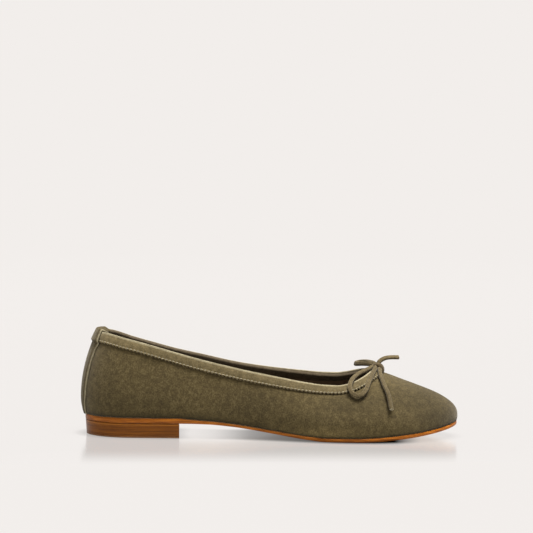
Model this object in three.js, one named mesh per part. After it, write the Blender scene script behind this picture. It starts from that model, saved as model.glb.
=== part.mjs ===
// A right-foot ballet flat, standing empty on a level floor. Millimetres, +Z up.
// +X points to the toe and -Y to the outer side of the foot. The origin is on the floor, under the middle
// of the shoe's length and width.
//
// The upper is one thin wall over the form of a last. A point on that form is named by two numbers:
//   turn  degrees round the shoe: 0 at the back seam, 180 at the tip of the toe, negative on the outer side
//   lift  -1 at the sole, 0 where the wall is widest, 1 on the crest along the middle of the last
import * as THREE from "three";
import { mergeVertices } from "three/addons/utils/BufferGeometryUtils.js";

// Overall sizes
const LENGTH = 250; // back of the heel to the tip of the toe
const BALL_WIDTH = 80; // across the upper at the ball
const BACK_HEIGHT = 67.6; // floor to the cut edge of the upper at the back seam
const THROAT_HEIGHT = 43.3; // floor to the cut edge of the upper at the throat
const THROAT_AT = 0.772; // share of the length from the heel to the throat
const TOE_SPRING = 8.4; // floor to the underside of the sole at the toe
const HEEL_HEIGHT = 9.4; // thickness of the heel block
const HEEL_BREAST_AT = 0.262; // share of the length from the heel to the front of the block
const BELLY = 2; // how far the upper swells past the sole at the back
const BELLY_HEIGHT = 11.5; // from the sole to the widest line of the upper, at the back

// Thicknesses and clearances
const GAP = 0.3; // between two pieces that touch
const WALL = 1.6; // suede and lining together
const SEAT_THICKNESS = 3.4; // outsole over the heel block
const SOLE_THICKNESS = 2.5; // outsole in front of the heel block
const INSOLE_THICKNESS = 2;
const TAPE = 0.8; // binding tape round the top edge
const TAPE_WIDTH = 6.3; // binding tape down the outside
const TAPE_TURN_IN = 5; // binding tape down the inside
const STRIP = 0.9; // strip over the back seam
const STRIP_TOP_WIDTH = 33.6; // both widths as they are round the widest line
const STRIP_FOOT_WIDTH = 21.5;
const STRIP_FLARE = 1.6; // how late the strip widens on its way up
const STRIP_TURN_IN = 9; // how far the strip runs down inside
const CORD = 2.7; // the bow's cord
const KNOT = { length: 8.5, width: 9, height: 4.4 };

// How finely the curves are cut
const RIM_STEPS = 26; // along each side of the opening
const VAMP_STEPS = 15; // along each side from the throat to the toe
const BELLY_ROWS = 4; // from the sole to the widest line
const WALL_ROWS = 8; // from the widest line to the band under the edge, or to the crest
const BEND_LENGTH = 16;
const SLOPE_STEP = 0.01; // for measuring slopes of the form

// The last, from above. at is the share of the length from the heel; axis, outer and inner are shares of the
// ball width: where the crest runs, and how far the widest line lies from it on each side before the ends
// are rounded.
const PLAN = [
  { at: 0.0, axis: 0.0, outer: 0.356, inner: 0.356 },
  { at: 0.14, axis: 0.0, outer: 0.362, inner: 0.356 },
  { at: 0.27, axis: 0.0, outer: 0.354, inner: 0.331 },
  { at: 0.4, axis: 0.006, outer: 0.362, inner: 0.306 },
  { at: 0.5, axis: 0.013, outer: 0.394, inner: 0.331 },
  { at: 0.6, axis: 0.02, outer: 0.465, inner: 0.4 },
  { at: 0.68, axis: 0.028, outer: 0.511, inner: 0.46 },
  { at: 0.76, axis: 0.035, outer: 0.518, inner: 0.481 },
  { at: 0.86, axis: 0.045, outer: 0.508, inner: 0.469 },
  { at: 1.0, axis: 0.062, outer: 0.482, inner: 0.438 },
];
const HEEL_ROUND = 0.13; // share of the length over which the heel's plan is an ellipse
const TOE_ROUND = 0.28;

// The last, from the end. The swells are shares of BELLY and belly of BELLY_HEIGHT. crest is the height of
// the crest, where 0 is the throat's height and 1 the back's. wall and crown are how far a section stays
// upright at the side and level at the top. Behind the throat the crest only steers the walls.
const SECTIONS = [
  { at: 0.0, swellOuter: 1.0, swellInner: 1.0, belly: 1.0, crest: 2.2, wall: 0.5, crown: 0.38 },
  { at: 0.14, swellOuter: 0.9, swellInner: 0.95, belly: 0.96, crest: 2.0, wall: 0.5, crown: 0.5 },
  { at: 0.3, swellOuter: 0.75, swellInner: 1.05, belly: 0.87, crest: 1.5, wall: 0.5, crown: 0.62 },
  { at: 0.4, swellOuter: 0.7, swellInner: 1.4, belly: 0.83, crest: 1.02, wall: 0.5, crown: 0.66 },
  { at: 0.5, swellOuter: 0.7, swellInner: 1.4, belly: 0.83, crest: 0.58, wall: 0.48, crown: 0.62 },
  { at: 0.58, swellOuter: 0.7, swellInner: 1.1, belly: 0.8, crest: 0.36, wall: 0.47, crown: 0.45 },
  { at: 0.66, swellOuter: 0.7, swellInner: 0.8, belly: 0.76, crest: 0.18, wall: 0.48, crown: 0.28 },
  { at: 0.784, swellOuter: 0.6, swellInner: 0.6, belly: 0.7, crest: 0.0, wall: 0.5, crown: 0.34 },
  { at: 0.86, swellOuter: 0.55, swellInner: 0.55, belly: 0.58, crest: -0.26, wall: 0.53, crown: 0.45 },
  { at: 0.928, swellOuter: 0.4, swellInner: 0.4, belly: 0.44, crest: -0.52, wall: 0.6, crown: 0.56 },
  { at: 1.0, swellOuter: 0.25, swellInner: 0.25, belly: 0.23, crest: -0.84, wall: 0.76, crown: 0.8 },
];
const TOE_POLE = 0.93; // where the sections fan out from, as shares of the length
const TOE_FAN = 0.8;
const HEEL_POLE = 0.15;
const HEEL_FAN = 0.3;

// The cut edge of the upper from the side, on the same scale as crest. at is the share of the way from the
// back of the shoe to the throat.
const RIM = [
  { at: 0.0, outer: 1.0, inner: 1.0 },
  { at: 0.065, outer: 0.985, inner: 0.985 },
  { at: 0.171, outer: 0.82, inner: 0.73 },
  { at: 0.24, outer: 0.68, inner: 0.58 },
  { at: 0.308, outer: 0.53, inner: 0.44 },
  { at: 0.412, outer: 0.31, inner: 0.27 },
  { at: 0.514, outer: 0.12, inner: 0.1 },
  { at: 0.583, outer: 0.0, inner: 0.01 },
  { at: 0.687, outer: -0.16, inner: -0.09 },
  { at: 0.755, outer: -0.26, inner: -0.14 },
  { at: 0.829, outer: -0.34, inner: -0.18 },
  { at: 0.874, outer: -0.355, inner: -0.185 },
  { at: 0.915, outer: -0.31, inner: -0.14 },
  { at: 0.952, outer: -0.2, inner: -0.06 },
  { at: 1.0, outer: 0.0, inner: 0.0 },
];

// The underside of the sole. at is the share of the way from the breast of the heel to the tip. heel is a
// share of the height over the heel block and spring of TOE_SPRING. thick is 1 for the seat's thickness, 0
// for the forefoot's, and less where the waist is shaved down.
const SOLE = [
  { at: 0.0, heel: 1.0, spring: 0.0, thick: 1.0 },
  { at: 0.038, heel: 1.0, spring: 0.0, thick: 0.3 },
  { at: 0.106, heel: 0.97, spring: 0.0, thick: -0.4 },
  { at: 0.187, heel: 0.84, spring: 0.0, thick: -0.7 },
  { at: 0.255, heel: 0.67, spring: 0.0, thick: -0.8 },
  { at: 0.322, heel: 0.47, spring: 0.0, thick: -0.7 },
  { at: 0.39, heel: 0.27, spring: 0.0, thick: -0.5 },
  { at: 0.458, heel: 0.1, spring: 0.0, thick: -0.25 },
  { at: 0.519, heel: 0.0, spring: 0.0, thick: -0.1 },
  { at: 0.634, heel: 0.0, spring: 0.0, thick: 0.0 },
  { at: 0.702, heel: 0.0, spring: 0.06, thick: 0.0 },
  { at: 0.77, heel: 0.0, spring: 0.17, thick: 0.0 },
  { at: 0.837, heel: 0.0, spring: 0.32, thick: 0.0 },
  { at: 0.905, heel: 0.0, spring: 0.54, thick: 0.0 },
  { at: 0.959, heel: 0.0, spring: 0.77, thick: 0.0 },
  { at: 1.0, heel: 0.0, spring: 1.0, thick: 0.0 },
];

const mix = (a, b, share) => a + (b - a) * share;
const clamp = (value, low, high) => Math.min(high, Math.max(low, value));
const radians = THREE.MathUtils.degToRad;

// A smooth function through one column of a table that never swings past its rows.
function through(rows, column) {
  const x = rows.map((row) => row.at);
  const y = rows.map((row) => row[column]);
  const run = x.slice(1).map((next, i) => next - x[i]);
  const slope = run.map((step, i) => (y[i + 1] - y[i]) / step);
  const tangent = y.map((_, i) => {
    if (i === 0) return slope[0];
    if (i === slope.length) return slope[i - 1];
    if (slope[i - 1] * slope[i] <= 0) return 0;
    const before = 2 * run[i] + run[i - 1];
    const after = run[i] + 2 * run[i - 1];
    return (before + after) / (before / slope[i - 1] + after / slope[i]);
  });
  return (at) => {
    const share = clamp(at, x[0], x[x.length - 1]);
    let i = 0;
    while (i < run.length - 1 && share > x[i + 1]) i++;
    const t = (share - x[i]) / run[i];
    const rise = t * t * (3 - 2 * t);
    const leave = t * (1 - t) * (1 - t) * run[i] * tangent[i];
    const arrive = t * t * (t - 1) * run[i] * tangent[i + 1];
    return mix(y[i], y[i + 1], rise) + leave + arrive;
  };
}

const columns = (rows, ...names) => Object.fromEntries(names.map((name) => [name, through(rows, name)]));
const plan = columns(PLAN, "axis", "outer", "inner");
const section = columns(SECTIONS, "swellOuter", "swellInner", "belly", "crest", "wall", "crown");
const rim = columns(RIM, "outer", "inner");
const sole = columns(SOLE, "heel", "spring", "thick");

const xAt = (share) => (share - 0.5) * LENGTH;
const shareAt = (x) => x / LENGTH + 0.5;
const heightOf = (rise) => mix(THROAT_HEIGHT, BACK_HEIGHT, rise);
const fromBreast = (x) => (shareAt(x) - HEEL_BREAST_AT) / (1 - HEEL_BREAST_AT);
const soleBottom = (x) => {
  const at = fromBreast(x);
  return sole.heel(at) * (HEEL_HEIGHT + GAP) + sole.spring(at) * TOE_SPRING;
};
const soleTop = (x) => soleBottom(x) + mix(SOLE_THICKNESS, SEAT_THICKNESS, sole.thick(fromBreast(x)));

// The share of the full width that is left near the two round ends.
function roundEnds(share) {
  const ellipse = (fromEnd, length) => {
    const left = clamp(1 - fromEnd / length, 0, 1);
    return Math.sqrt(1 - left * left);
  };
  return ellipse(share, HEEL_ROUND) * ellipse(1 - share, TOE_ROUND);
}

const shareOfTurn = (turn) => (1 - Math.cos(radians(turn))) / 2;
const turnOfShare = (share) => THREE.MathUtils.radToDeg(Math.acos(1 - 2 * share));

// The widest line of the upper, from above.
function widest(turn) {
  const share = shareOfTurn(turn);
  const side = Math.sin(radians(turn));
  const half = (side < 0 ? plan.outer(share) : plan.inner(share)) * roundEnds(share);
  return new THREE.Vector2(xAt(share), (plan.axis(share) + Math.sign(side) * half) * BALL_WIDTH);
}

// The edge of the sole, from above: the widest line taken in by the swell of the upper, and by extra.
function featherLine(turn, extra = 0) {
  const ahead = widest(turn + SLOPE_STEP);
  const behind = widest(turn - SLOPE_STEP);
  const along = ahead.sub(behind).normalize();
  const share = shareOfTurn(turn);
  const blend = (1 + Math.sin(radians(turn))) / 2;
  const swell = mix(section.swellOuter(share), section.swellInner(share), blend) * BELLY;
  return widest(turn).addScaledVector(new THREE.Vector2(along.y, -along.x), swell + extra);
}

// Where the section at this turn meets the crest: straight across, except that the ends fan out from a pole.
function landing(turn) {
  const share = shareOfTurn(turn);
  const fan = (from, end, pole) => {
    const t = clamp((share - from) / (end - from), 0, 1);
    const pull = 1 - (pole - from) / (end - from);
    return from + (end - from) * (t - pull * t * t);
  };
  const toeward = share > TOE_FAN ? fan(TOE_FAN, 1, TOE_POLE) : share;
  const at = share < HEEL_FAN ? fan(HEEL_FAN, 0, HEEL_POLE) : toeward;
  return new THREE.Vector2(xAt(at), plan.axis(at) * BALL_WIDTH);
}

// A point on the outside of the upper.
function form(turn, lift) {
  const share = shareOfTurn(turn);
  const edge = widest(turn);
  const foot = soleTop(edge.x) + GAP;
  const belly = section.belly(share) * BELLY_HEIGHT;
  if (lift <= 0) {
    const below = edge.lerp(featherLine(turn), lift * lift);
    return new THREE.Vector3(below.x, below.y, foot + belly * (1 + lift));
  }
  const rest = 1 - lift;
  const shoulder = 3 * rest * lift * lift;
  const reach = rest ** 3 + 3 * rest * rest * lift + shoulder * section.crown(share);
  const climb = 3 * rest * rest * lift * section.wall(share) + shoulder + lift ** 3;
  const spot = landing(turn).lerp(edge, reach);
  const top = heightOf(section.crest(shareAt(spot.x)));
  return new THREE.Vector3(spot.x, spot.y, mix(foot + belly, top, climb));
}

// Straight out of the wall on the crest, which both sides share.
function outOfCrest(turn) {
  const at = shareAt(landing(turn).x);
  const rise = heightOf(section.crest(at + SLOPE_STEP)) - heightOf(section.crest(at - SLOPE_STEP));
  return new THREE.Vector3(-rise, 0, 2 * SLOPE_STEP * LENGTH).normalize();
}

// How the form slopes at a point: along the turn, along the lift, and straight out of the wall.
function slopes(turn, lift) {
  const high = Math.min(lift + SLOPE_STEP, 1);
  const alongTurn = form(turn + SLOPE_STEP, lift).sub(form(turn - SLOPE_STEP, lift));
  const alongLift = form(turn, high).sub(form(turn, high - 2 * SLOPE_STEP));
  const out = lift < 1 ? alongLift.clone().cross(alongTurn).normalize() : outOfCrest(turn);
  alongTurn.divideScalar(2 * SLOPE_STEP);
  alongLift.divideScalar(2 * SLOPE_STEP);
  return { alongTurn, alongLift, out };
}

const offForm = ({ turn, lift }, distance) =>
  form(turn, lift).addScaledVector(slopes(turn, lift).out, distance);

// The cut edge. position runs from -1 at the throat, over the outer side, past 0 at the back seam, to 1.
const THROAT_TURN = turnOfShare(THROAT_AT);
function rimAt(position) {
  const way = Math.abs(position);
  const turn = Math.sign(position) * THROAT_TURN * way * (2 - way);
  if (way === 1) return { turn, lift: 1 };
  const edge = position < 0 ? rim.outer : rim.inner;
  let low = 0;
  let high = 1;
  while (high - low > 1e-7) {
    const lift = (low + high) / 2;
    const point = form(turn, lift);
    if (point.z < heightOf(edge(shareAt(point.x) / THROAT_AT))) low = lift;
    else high = lift;
  }
  return { turn, lift: (low + high) / 2 };
}

// Values from start to end, count steps apart, that are evenly spaced along a curve. A bend counts as
// BEND_LENGTH for each radian that it turns, so that tight bends get more of the steps.
function evenly(curve, start, end, count) {
  const fine = Array.from({ length: 401 }, (_, i) => mix(start, end, i / 400));
  const points = fine.map(curve);
  const paces = points.slice(1).map((point, i) => point.clone().sub(points[i]));
  const travelled = [0];
  paces.forEach((pace, i) => {
    const bend = i > 0 ? pace.angleTo(paces[i - 1]) : 0;
    travelled.push(travelled[i] + pace.length() + bend * BEND_LENGTH);
  });
  const total = travelled[travelled.length - 1];
  return Array.from({ length: count + 1 }, (_, step) => {
    if (step === count) return end;
    const wanted = (total * step) / count;
    const i = Math.max(1, travelled.findIndex((distance) => distance >= wanted));
    return mix(fine[i - 1], fine[i], (wanted - travelled[i - 1]) / (travelled[i] - travelled[i - 1]));
  });
}

const rimPoint = (position) => {
  const { turn, lift } = rimAt(position);
  return form(turn, lift);
};
const bothWays = (values) => [...values.slice(1).reverse().map((value) => -value), ...values];
const rimPositions = [
  ...evenly(rimPoint, -1, 0, RIM_STEPS).slice(0, -1),
  ...evenly(rimPoint, 0, 1, RIM_STEPS),
];

// A point on the form that lies some way below the cut edge, measured square to the edge.
function belowRim(position, distance) {
  const here = rimAt(position);
  const reach = 1e-3;
  const ahead = rimPoint(Math.min(position + reach, 1));
  const along = ahead.sub(rimPoint(Math.max(position - reach, -1)));
  if (Math.abs(position) === 1) along.set(0, -1, 0);
  const steps = 4;
  for (let i = 0; i < steps; i++) {
    const { alongTurn, alongLift, out } = slopes(here.turn, here.lift);
    const down = out.clone().cross(along).normalize().multiplyScalar(distance / steps);
    const tt = alongTurn.lengthSq();
    const ll = alongLift.lengthSq();
    const tl = alongTurn.dot(alongLift);
    const dt = down.dot(alongTurn);
    const dl = down.dot(alongLift);
    const scale = tt * ll - tl * tl;
    const onCrest = here.lift === 1;
    here.turn += onCrest ? dt / tt : (dt * ll - dl * tl) / scale;
    here.lift = onCrest ? 1 : Math.min(here.lift + (dl * tt - dt * tl) / scale, 1);
  }
  return here;
}

// A mesh from the corners of its triangles. Corners that coincide are merged, and the faces that vanish with
// them are dropped.
function meshFrom(triangles) {
  const flat = triangles.flatMap((corner) => [corner.x, corner.y, corner.z]);
  const loose = new THREE.BufferGeometry();
  loose.setAttribute("position", new THREE.Float32BufferAttribute(flat, 3));
  const merged = mergeVertices(loose, 1e-3);
  const index = [];
  for (let i = 0; i < merged.index.count; i += 3) {
    const [a, b, c] = [0, 1, 2].map((corner) => merged.index.getX(i + corner));
    if (a !== b && b !== c && c !== a) index.push(a, b, c);
  }
  merged.setIndex(index);
  merged.computeVertexNormals();
  return merged;
}

const quad = (a, b, c, d) => [a, b, c, a, c, d];

// Faces between rows of equal length. closed joins each row's last point to its first.
function sheet(rows, closed) {
  const faces = [];
  for (let i = 0; i + 1 < rows.length; i++) {
    const width = rows[i].length;
    for (let k = 0; k + (closed ? 0 : 1) < width; k++) {
      const next = (k + 1) % width;
      faces.push(...quad(rows[i][k], rows[i + 1][k], rows[i + 1][next], rows[i][next]));
    }
  }
  return faces;
}

// A tube of closed sections that runs round the opening and meets itself.
const ringOf = (sections) => meshFrom(sheet([sections[0], ...[...sections].reverse()], true));

// Depths under the cut edge that the upper and its binding share, so that their facets run side by side.
const BAND = [TAPE_WIDTH, TAPE_TURN_IN, TAPE_TURN_IN / 2, 0];
const bands = rimPositions.map((position) => BAND.map((depth) => belowRim(position, depth)));

// Where the columns of the upper stand on the sole: under the opening, then from the binding's front to the
// tip.
const bindingFront = bands[bands.length - 1][0].turn;
const quarterTurns = bothWays(evenly(widest, 0, bindingFront, RIM_STEPS));
const vampTurns = evenly(widest, bindingFront, 180, VAMP_STEPS).slice(1);
const outlineTurns = [0, ...quarterTurns.filter((turn) => turn > 0), ...vampTurns];

// The upper: columns of points round the shoe, each from the sole to the cut edge or the crest.
function upperGeometry() {
  const rows = BELLY_ROWS + WALL_ROWS;
  const quarter = quarterTurns.map((foot, i) => ({ foot, top: bands[i] }));
  const vamp = vampTurns.map((foot) => ({ foot, top: [{ turn: foot, lift: 1 }] }));
  const mirrored = vampTurns
    .slice(0, -1)
    .reverse()
    .map((foot) => ({ foot: -foot, top: [{ turn: -foot, lift: 1 }] }));
  const walls = [...quarter, ...vamp, ...mirrored].map(({ foot, top }) => {
    const rise = Array.from({ length: rows }, (_, row) => {
      const turn = mix(foot, top[0].turn, (row / rows) ** 2);
      const lift = row < BELLY_ROWS ? row / BELLY_ROWS - 1 : (top[0].lift * (row - BELLY_ROWS)) / WALL_ROWS;
      return { turn, lift };
    });
    const spots = [...rise, ...top];
    const outside = spots.map(({ turn, lift }) => form(turn, lift));
    const inside = spots.map((spot) => offForm(spot, -WALL));
    inside[0].setZ(outside[0].z);
    return { outside, inside };
  });
  const faces = [];
  walls.forEach((wall, i) => {
    const next = walls[(i + 1) % walls.length];
    const last = Math.min(wall.outside.length, next.outside.length) - 1;
    const upTo = (points) => points.slice(0, last + 1);
    faces.push(...sheet([upTo(next.outside), upTo(wall.outside)], false));
    faces.push(...sheet([upTo(wall.inside), upTo(next.inside)], false));
    faces.push(...quad(wall.inside[0], wall.outside[0], next.outside[0], next.inside[0]));
    if (last > rows)
      faces.push(...quad(wall.outside[last], wall.inside[last], next.inside[last], next.outside[last]));
  });
  return meshFrom(faces);
}

// A plate under the foot: strips across it, from the outer edge to the inner, at each turn.
// edge gives the rim of the plate as shares of its thickness up from below, each with its own inset.
function plateGeometry(inset, bottomAt, topAt, edge) {
  const across = [0.25, 0.5, 0.75];
  const rows = outlineTurns.map((turn) => {
    const side = (sign) =>
      edge.map(({ up, inset: extra }) => {
        const spot = featherLine(sign * turn, inset + extra);
        return new THREE.Vector3(spot.x, spot.y, mix(bottomAt(spot.x), topAt(spot.x), up));
      });
    const outer = side(-1);
    const inner = side(1).reverse();
    const between = (from, to, heightAt) =>
      across.map((share) => {
        const point = from.clone().lerp(to, share);
        return point.setZ(heightAt(point.x));
      });
    const over = between(outer[outer.length - 1], inner[0], topAt);
    const under = between(inner[inner.length - 1], outer[0], bottomAt);
    return [...outer, ...over, ...inner, ...under];
  });
  return meshFrom(sheet(rows, true));
}

const SOLE_EDGE = [
  { up: 0, inset: 1.0 },
  { up: 0.3, inset: 0.15 },
  { up: 0.75, inset: 0 },
  { up: 1, inset: 0.3 },
];
const INSOLE_EDGE = [
  { up: 0, inset: 0 },
  { up: 1, inset: 0 },
];
const INSOLE_INSET = WALL + 2 * GAP;
const insoleBottom = (x) => soleTop(x) + GAP;
const insoleTop = (x) => insoleBottom(x) + INSOLE_THICKNESS;

// The heel block: the sole's outline back from the breast, drawn in a little towards the floor.
const HEEL_INSET = 0.2;
const HEEL_TAPER = 0.7;
const BREAST_HOLLOW = 2.5; // how far the breast curves back in the middle
function heelGeometry() {
  const breast = turnOfShare(HEEL_BREAST_AT);
  const turns = bothWays(evenly(widest, 0, breast, 11));
  const ring = (inset, height) => {
    const round = turns.map((turn) => featherLine(turn, inset));
    const [from, to] = [round[round.length - 1], round[0]];
    const hollow = [1, 2, 3, 4, 5].map((step) => {
      const share = step / 6;
      const point = from.clone().lerp(to, share);
      point.x -= BREAST_HOLLOW * Math.sin(Math.PI * share);
      return point;
    });
    return [...round, ...hollow].map(({ x, y }) => new THREE.Vector3(x, y, height));
  };
  const foot = ring(HEEL_INSET + HEEL_TAPER, 0);
  const top = ring(HEEL_INSET, HEEL_HEIGHT);
  const flat = top.map(({ x, y }) => new THREE.Vector2(x, y));
  const cap = THREE.ShapeUtils.triangulateShape(flat, []);
  const faces = sheet([foot, top], true);
  for (const [a, b, c] of cap) faces.push(top[a], top[b], top[c], foot[c], foot[b], foot[a]);
  return meshFrom(faces);
}

// The binding: a folded tape astride the cut edge, thicker at the fold where the cord runs through it.
const FOLD_RISE = 1.1; // how far the fold stands over the cut edge
const FOLD_WIDTH = 1.2; // across its flat top
const tapeOutside = GAP + TAPE;
function bindingGeometry() {
  const sections = bands.slice(0, -1).map((band) => {
    const [foot, turnIn, middle, edge] = band;
    const face = (spots, distance) => spots.map((spot) => offForm(spot, distance));
    const lifted = (distance, rise) => {
      const point = offForm(edge, distance);
      const below = offForm(middle, distance);
      return point.addScaledVector(point.clone().sub(below).normalize(), rise);
    };
    return [
      ...face([foot, turnIn, middle], tapeOutside),
      lifted(tapeOutside, GAP),
      lifted(-WALL / 2 + FOLD_WIDTH / 2, FOLD_RISE),
      lifted(-WALL / 2 - FOLD_WIDTH / 2, FOLD_RISE),
      lifted(-WALL - tapeOutside, GAP),
      ...face([middle, turnIn], -WALL - tapeOutside),
      ...face([turnIn, middle], -WALL - GAP),
      lifted(-WALL - GAP, GAP),
      lifted(GAP, GAP),
      ...face([middle, turnIn, foot], GAP),
    ];
  });
  return ringOf(sections);
}

// The strip over the back seam: up the outside from the sole, over the binding and down inside.
function stripGeometry() {
  const across = [-1, -0.75, -0.5, -0.25, 0, 0.25, 0.5, 0.75, 1];
  const overBinding = tapeOutside + 2 * GAP;
  const backEdge = rimAt(0);
  const halfTurn = (width) => {
    const ofMillimetre = widest(1).distanceTo(widest(-1)) / 2;
    return width / 2 / ofMillimetre;
  };
  const outsideStations = [-0.97, -0.75, -0.5, -0.25, 0, 0.2, 0.4, 0.6, 0.78];
  const rows = [];
  for (const station of outsideStations) {
    const lift = station < 0 ? station : station * backEdge.lift;
    const width = mix(STRIP_FOOT_WIDTH, STRIP_TOP_WIDTH, ((station + 1) / 2) ** STRIP_FLARE);
    rows.push(
      across.map((share) => {
        const turn = share * halfTurn(width);
        const start = { turn, lift };
        return { inner: offForm(start, GAP), outer: offForm(start, GAP + STRIP) };
      }),
    );
  }
  const positionOf = (share) => {
    const turn = Math.abs(share) * halfTurn(STRIP_TOP_WIDTH);
    return Math.sign(share) * (1 - Math.sqrt(1 - turn / THROAT_TURN));
  };
  const overTape = (depth, distance, rise) =>
    across.map((share) => {
      const position = positionOf(share);
      const edge = offForm(belowRim(position, depth), distance);
      const lower = offForm(belowRim(position, depth + STRIP), distance);
      const outer = offForm(belowRim(position, depth), distance + Math.sign(distance + WALL / 2) * STRIP);
      const up = edge.clone().sub(lower).normalize();
      return {
        inner: edge.addScaledVector(up, rise),
        outer: outer.addScaledVector(up, rise ? rise + STRIP : 0),
      };
    });
  rows.push(overTape(TAPE_WIDTH * 0.8, overBinding, 0));
  rows.push(overTape(TAPE_WIDTH * 0.3, overBinding, 0));
  rows.push(overTape(0, overBinding, FOLD_RISE + GAP));
  rows.push(overTape(0, -WALL - overBinding, FOLD_RISE + GAP));
  rows.push(overTape(TAPE_TURN_IN * 0.5, -WALL - overBinding, 0));
  rows.push(overTape(STRIP_TURN_IN, -WALL - overBinding, 0));
  const sections = rows.map((row) => [
    ...row.map(({ outer }) => outer),
    ...row.map(({ inner }) => inner).reverse(),
  ]);
  const faces = sheet(sections, true);
  const cap = (ring, flip) => {
    for (let k = 0; k + 1 < across.length; k++) {
      const corners = quad(ring[k], ring[k + 1], ring[ring.length - 2 - k], ring[ring.length - 1 - k]);
      faces.push(...(flip ? corners.reverse() : corners));
    }
  };
  cap(sections[0], false);
  cap(sections[sections.length - 1], true);
  return meshFrom(faces);
}

// The bow. Each point is a place on the cord's middle, in millimetres from the middle of the knot, chosen
// by eye: x to the toe, y to the inner side, z up.
const KNOT_RISE = 3.3; // middle of the knot over the cut edge at the throat
const KNOT_AHEAD = 3; // and in front of it
const LOOP_OUTER = [
  [-3.3, -3.9, -0.9], [-6.4, -8.0, -2.0], [-10.3, -12.6, -3.4], [-14.2, -17.6, -5.0], [-17.2, -23.4, -7.2],
  [-19.0, -28.6, -10.0], [-19.1, -31.6, -12.5], [-18.2, -33.2, -14.6], [-16.3, -34.2, -16.1],
  [-13.7, -34.8, -16.8], [-11.4, -34.2, -16.2], [-9.5, -32.4, -14.6], [-8.0, -29.2, -12.2],
  [-6.6, -24.8, -9.1], [-4.9, -18.6, -6.0], [-3.0, -11.8, -3.3], [-1.3, -6.0, -1.3],
];
const LOOP_INNER = [
  [-3.4, 4.1, 0.1], [-6.7, 6.9, -0.1], [-10.3, 10.4, -0.4], [-12.9, 14.0, -0.9], [-14.0, 18.0, -1.2],
  [-13.1, 21.8, -1.0], [-10.4, 23.2, -0.5], [-6.9, 19.2, 0.1], [-4.0, 12.8, 0.4], [-1.4, 6.3, 0.4],
];
const TAIL_LOWER = [
  [1.3, -4.8, -1.4], [1.3, -10.6, -3.6], [2.1, -17.6, -7.2], [3.7, -24.0, -11.3], [5.9, -30.8, -16.1],
  [8.8, -37.9, -24.4],
];
const TAIL_UPPER = [
  [2.4, 1.9, 2.9], [4.9, 3.2, 4.1], [8.4, 4.9, 4.6], [14.4, 7.2, 4.5],
];

function cordGeometry(points, steps) {
  const path = new THREE.CatmullRomCurve3(points.map(([x, y, z]) => new THREE.Vector3(x, y, z)));
  const round = new THREE.Shape();
  const sides = 8;
  for (let i = 0; i < sides; i++) {
    const angle = (2 * Math.PI * i) / sides;
    const corner = [(Math.cos(angle) * CORD) / 2, (Math.sin(angle) * CORD) / 2];
    if (i === 0) round.moveTo(...corner);
    else round.lineTo(...corner);
  }
  round.closePath();
  return new THREE.ExtrudeGeometry(round, { steps, extrudePath: path, curveSegments: 1 });
}

function knotGeometry() {
  const geometry = new THREE.SphereGeometry(0.5, 14, 10);
  geometry.scale(KNOT.length, KNOT.width, KNOT.height);
  return geometry;
}

const SUEDE = new THREE.MeshStandardMaterial({ color: "#675a3c", roughness: 0.95, metalness: 0 });
const BINDING_SUEDE = new THREE.MeshStandardMaterial({ color: "#7a6d4c", roughness: 0.95, metalness: 0 });
const SOLE_LEATHER = new THREE.MeshStandardMaterial({ color: "#a8662b", roughness: 0.45, metalness: 0 });
const STACKED_LEATHER = new THREE.MeshStandardMaterial({ color: "#7c4618", roughness: 0.4, metalness: 0 });
const LINING_LEATHER = new THREE.MeshStandardMaterial({ color: "#4a3c33", roughness: 0.6, metalness: 0 });

function piece(name, geometry, material) {
  const mesh = new THREE.Mesh(geometry, material);
  mesh.name = name;
  return mesh;
}

const body = new THREE.Group();
body.add(
  piece("outsole", plateGeometry(0, soleBottom, soleTop, SOLE_EDGE), SOLE_LEATHER),
  piece("heel_block", heelGeometry(), STACKED_LEATHER),
  piece("insole", plateGeometry(INSOLE_INSET, insoleBottom, insoleTop, INSOLE_EDGE), LINING_LEATHER),
  piece("upper", upperGeometry(), SUEDE),
  piece("topline_binding", bindingGeometry(), BINDING_SUEDE),
  piece("back_strip", stripGeometry(), SUEDE),
);

const bow = new THREE.Group();
bow.add(
  piece("bow_knot", knotGeometry(), BINDING_SUEDE),
  piece("bow_loop_outer", cordGeometry(LOOP_OUTER, 26), BINDING_SUEDE),
  piece("bow_loop_inner", cordGeometry(LOOP_INNER, 20), BINDING_SUEDE),
  piece("bow_tail_lower", cordGeometry(TAIL_LOWER, 10), BINDING_SUEDE),
  piece("bow_tail_upper", cordGeometry(TAIL_UPPER, 8), BINDING_SUEDE),
);
bow.position.copy(form(THROAT_TURN, 1));
bow.position.x += KNOT_AHEAD;
bow.position.z += KNOT_RISE;

// The middle of the shoe's box goes over the origin. The bow isn't measured.
const box = new THREE.Box3().setFromObject(body);
const shoe = new THREE.Group();
shoe.name = "ballet_flat";
shoe.add(body, bow);
shoe.position.set(-(box.min.x + box.max.x) / 2, -(box.min.y + box.max.y) / 2, -box.min.z);

export default shoe;
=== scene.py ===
import math

import bmesh
import bpy
import numpy as np
from mathutils import Matrix, Vector


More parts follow.
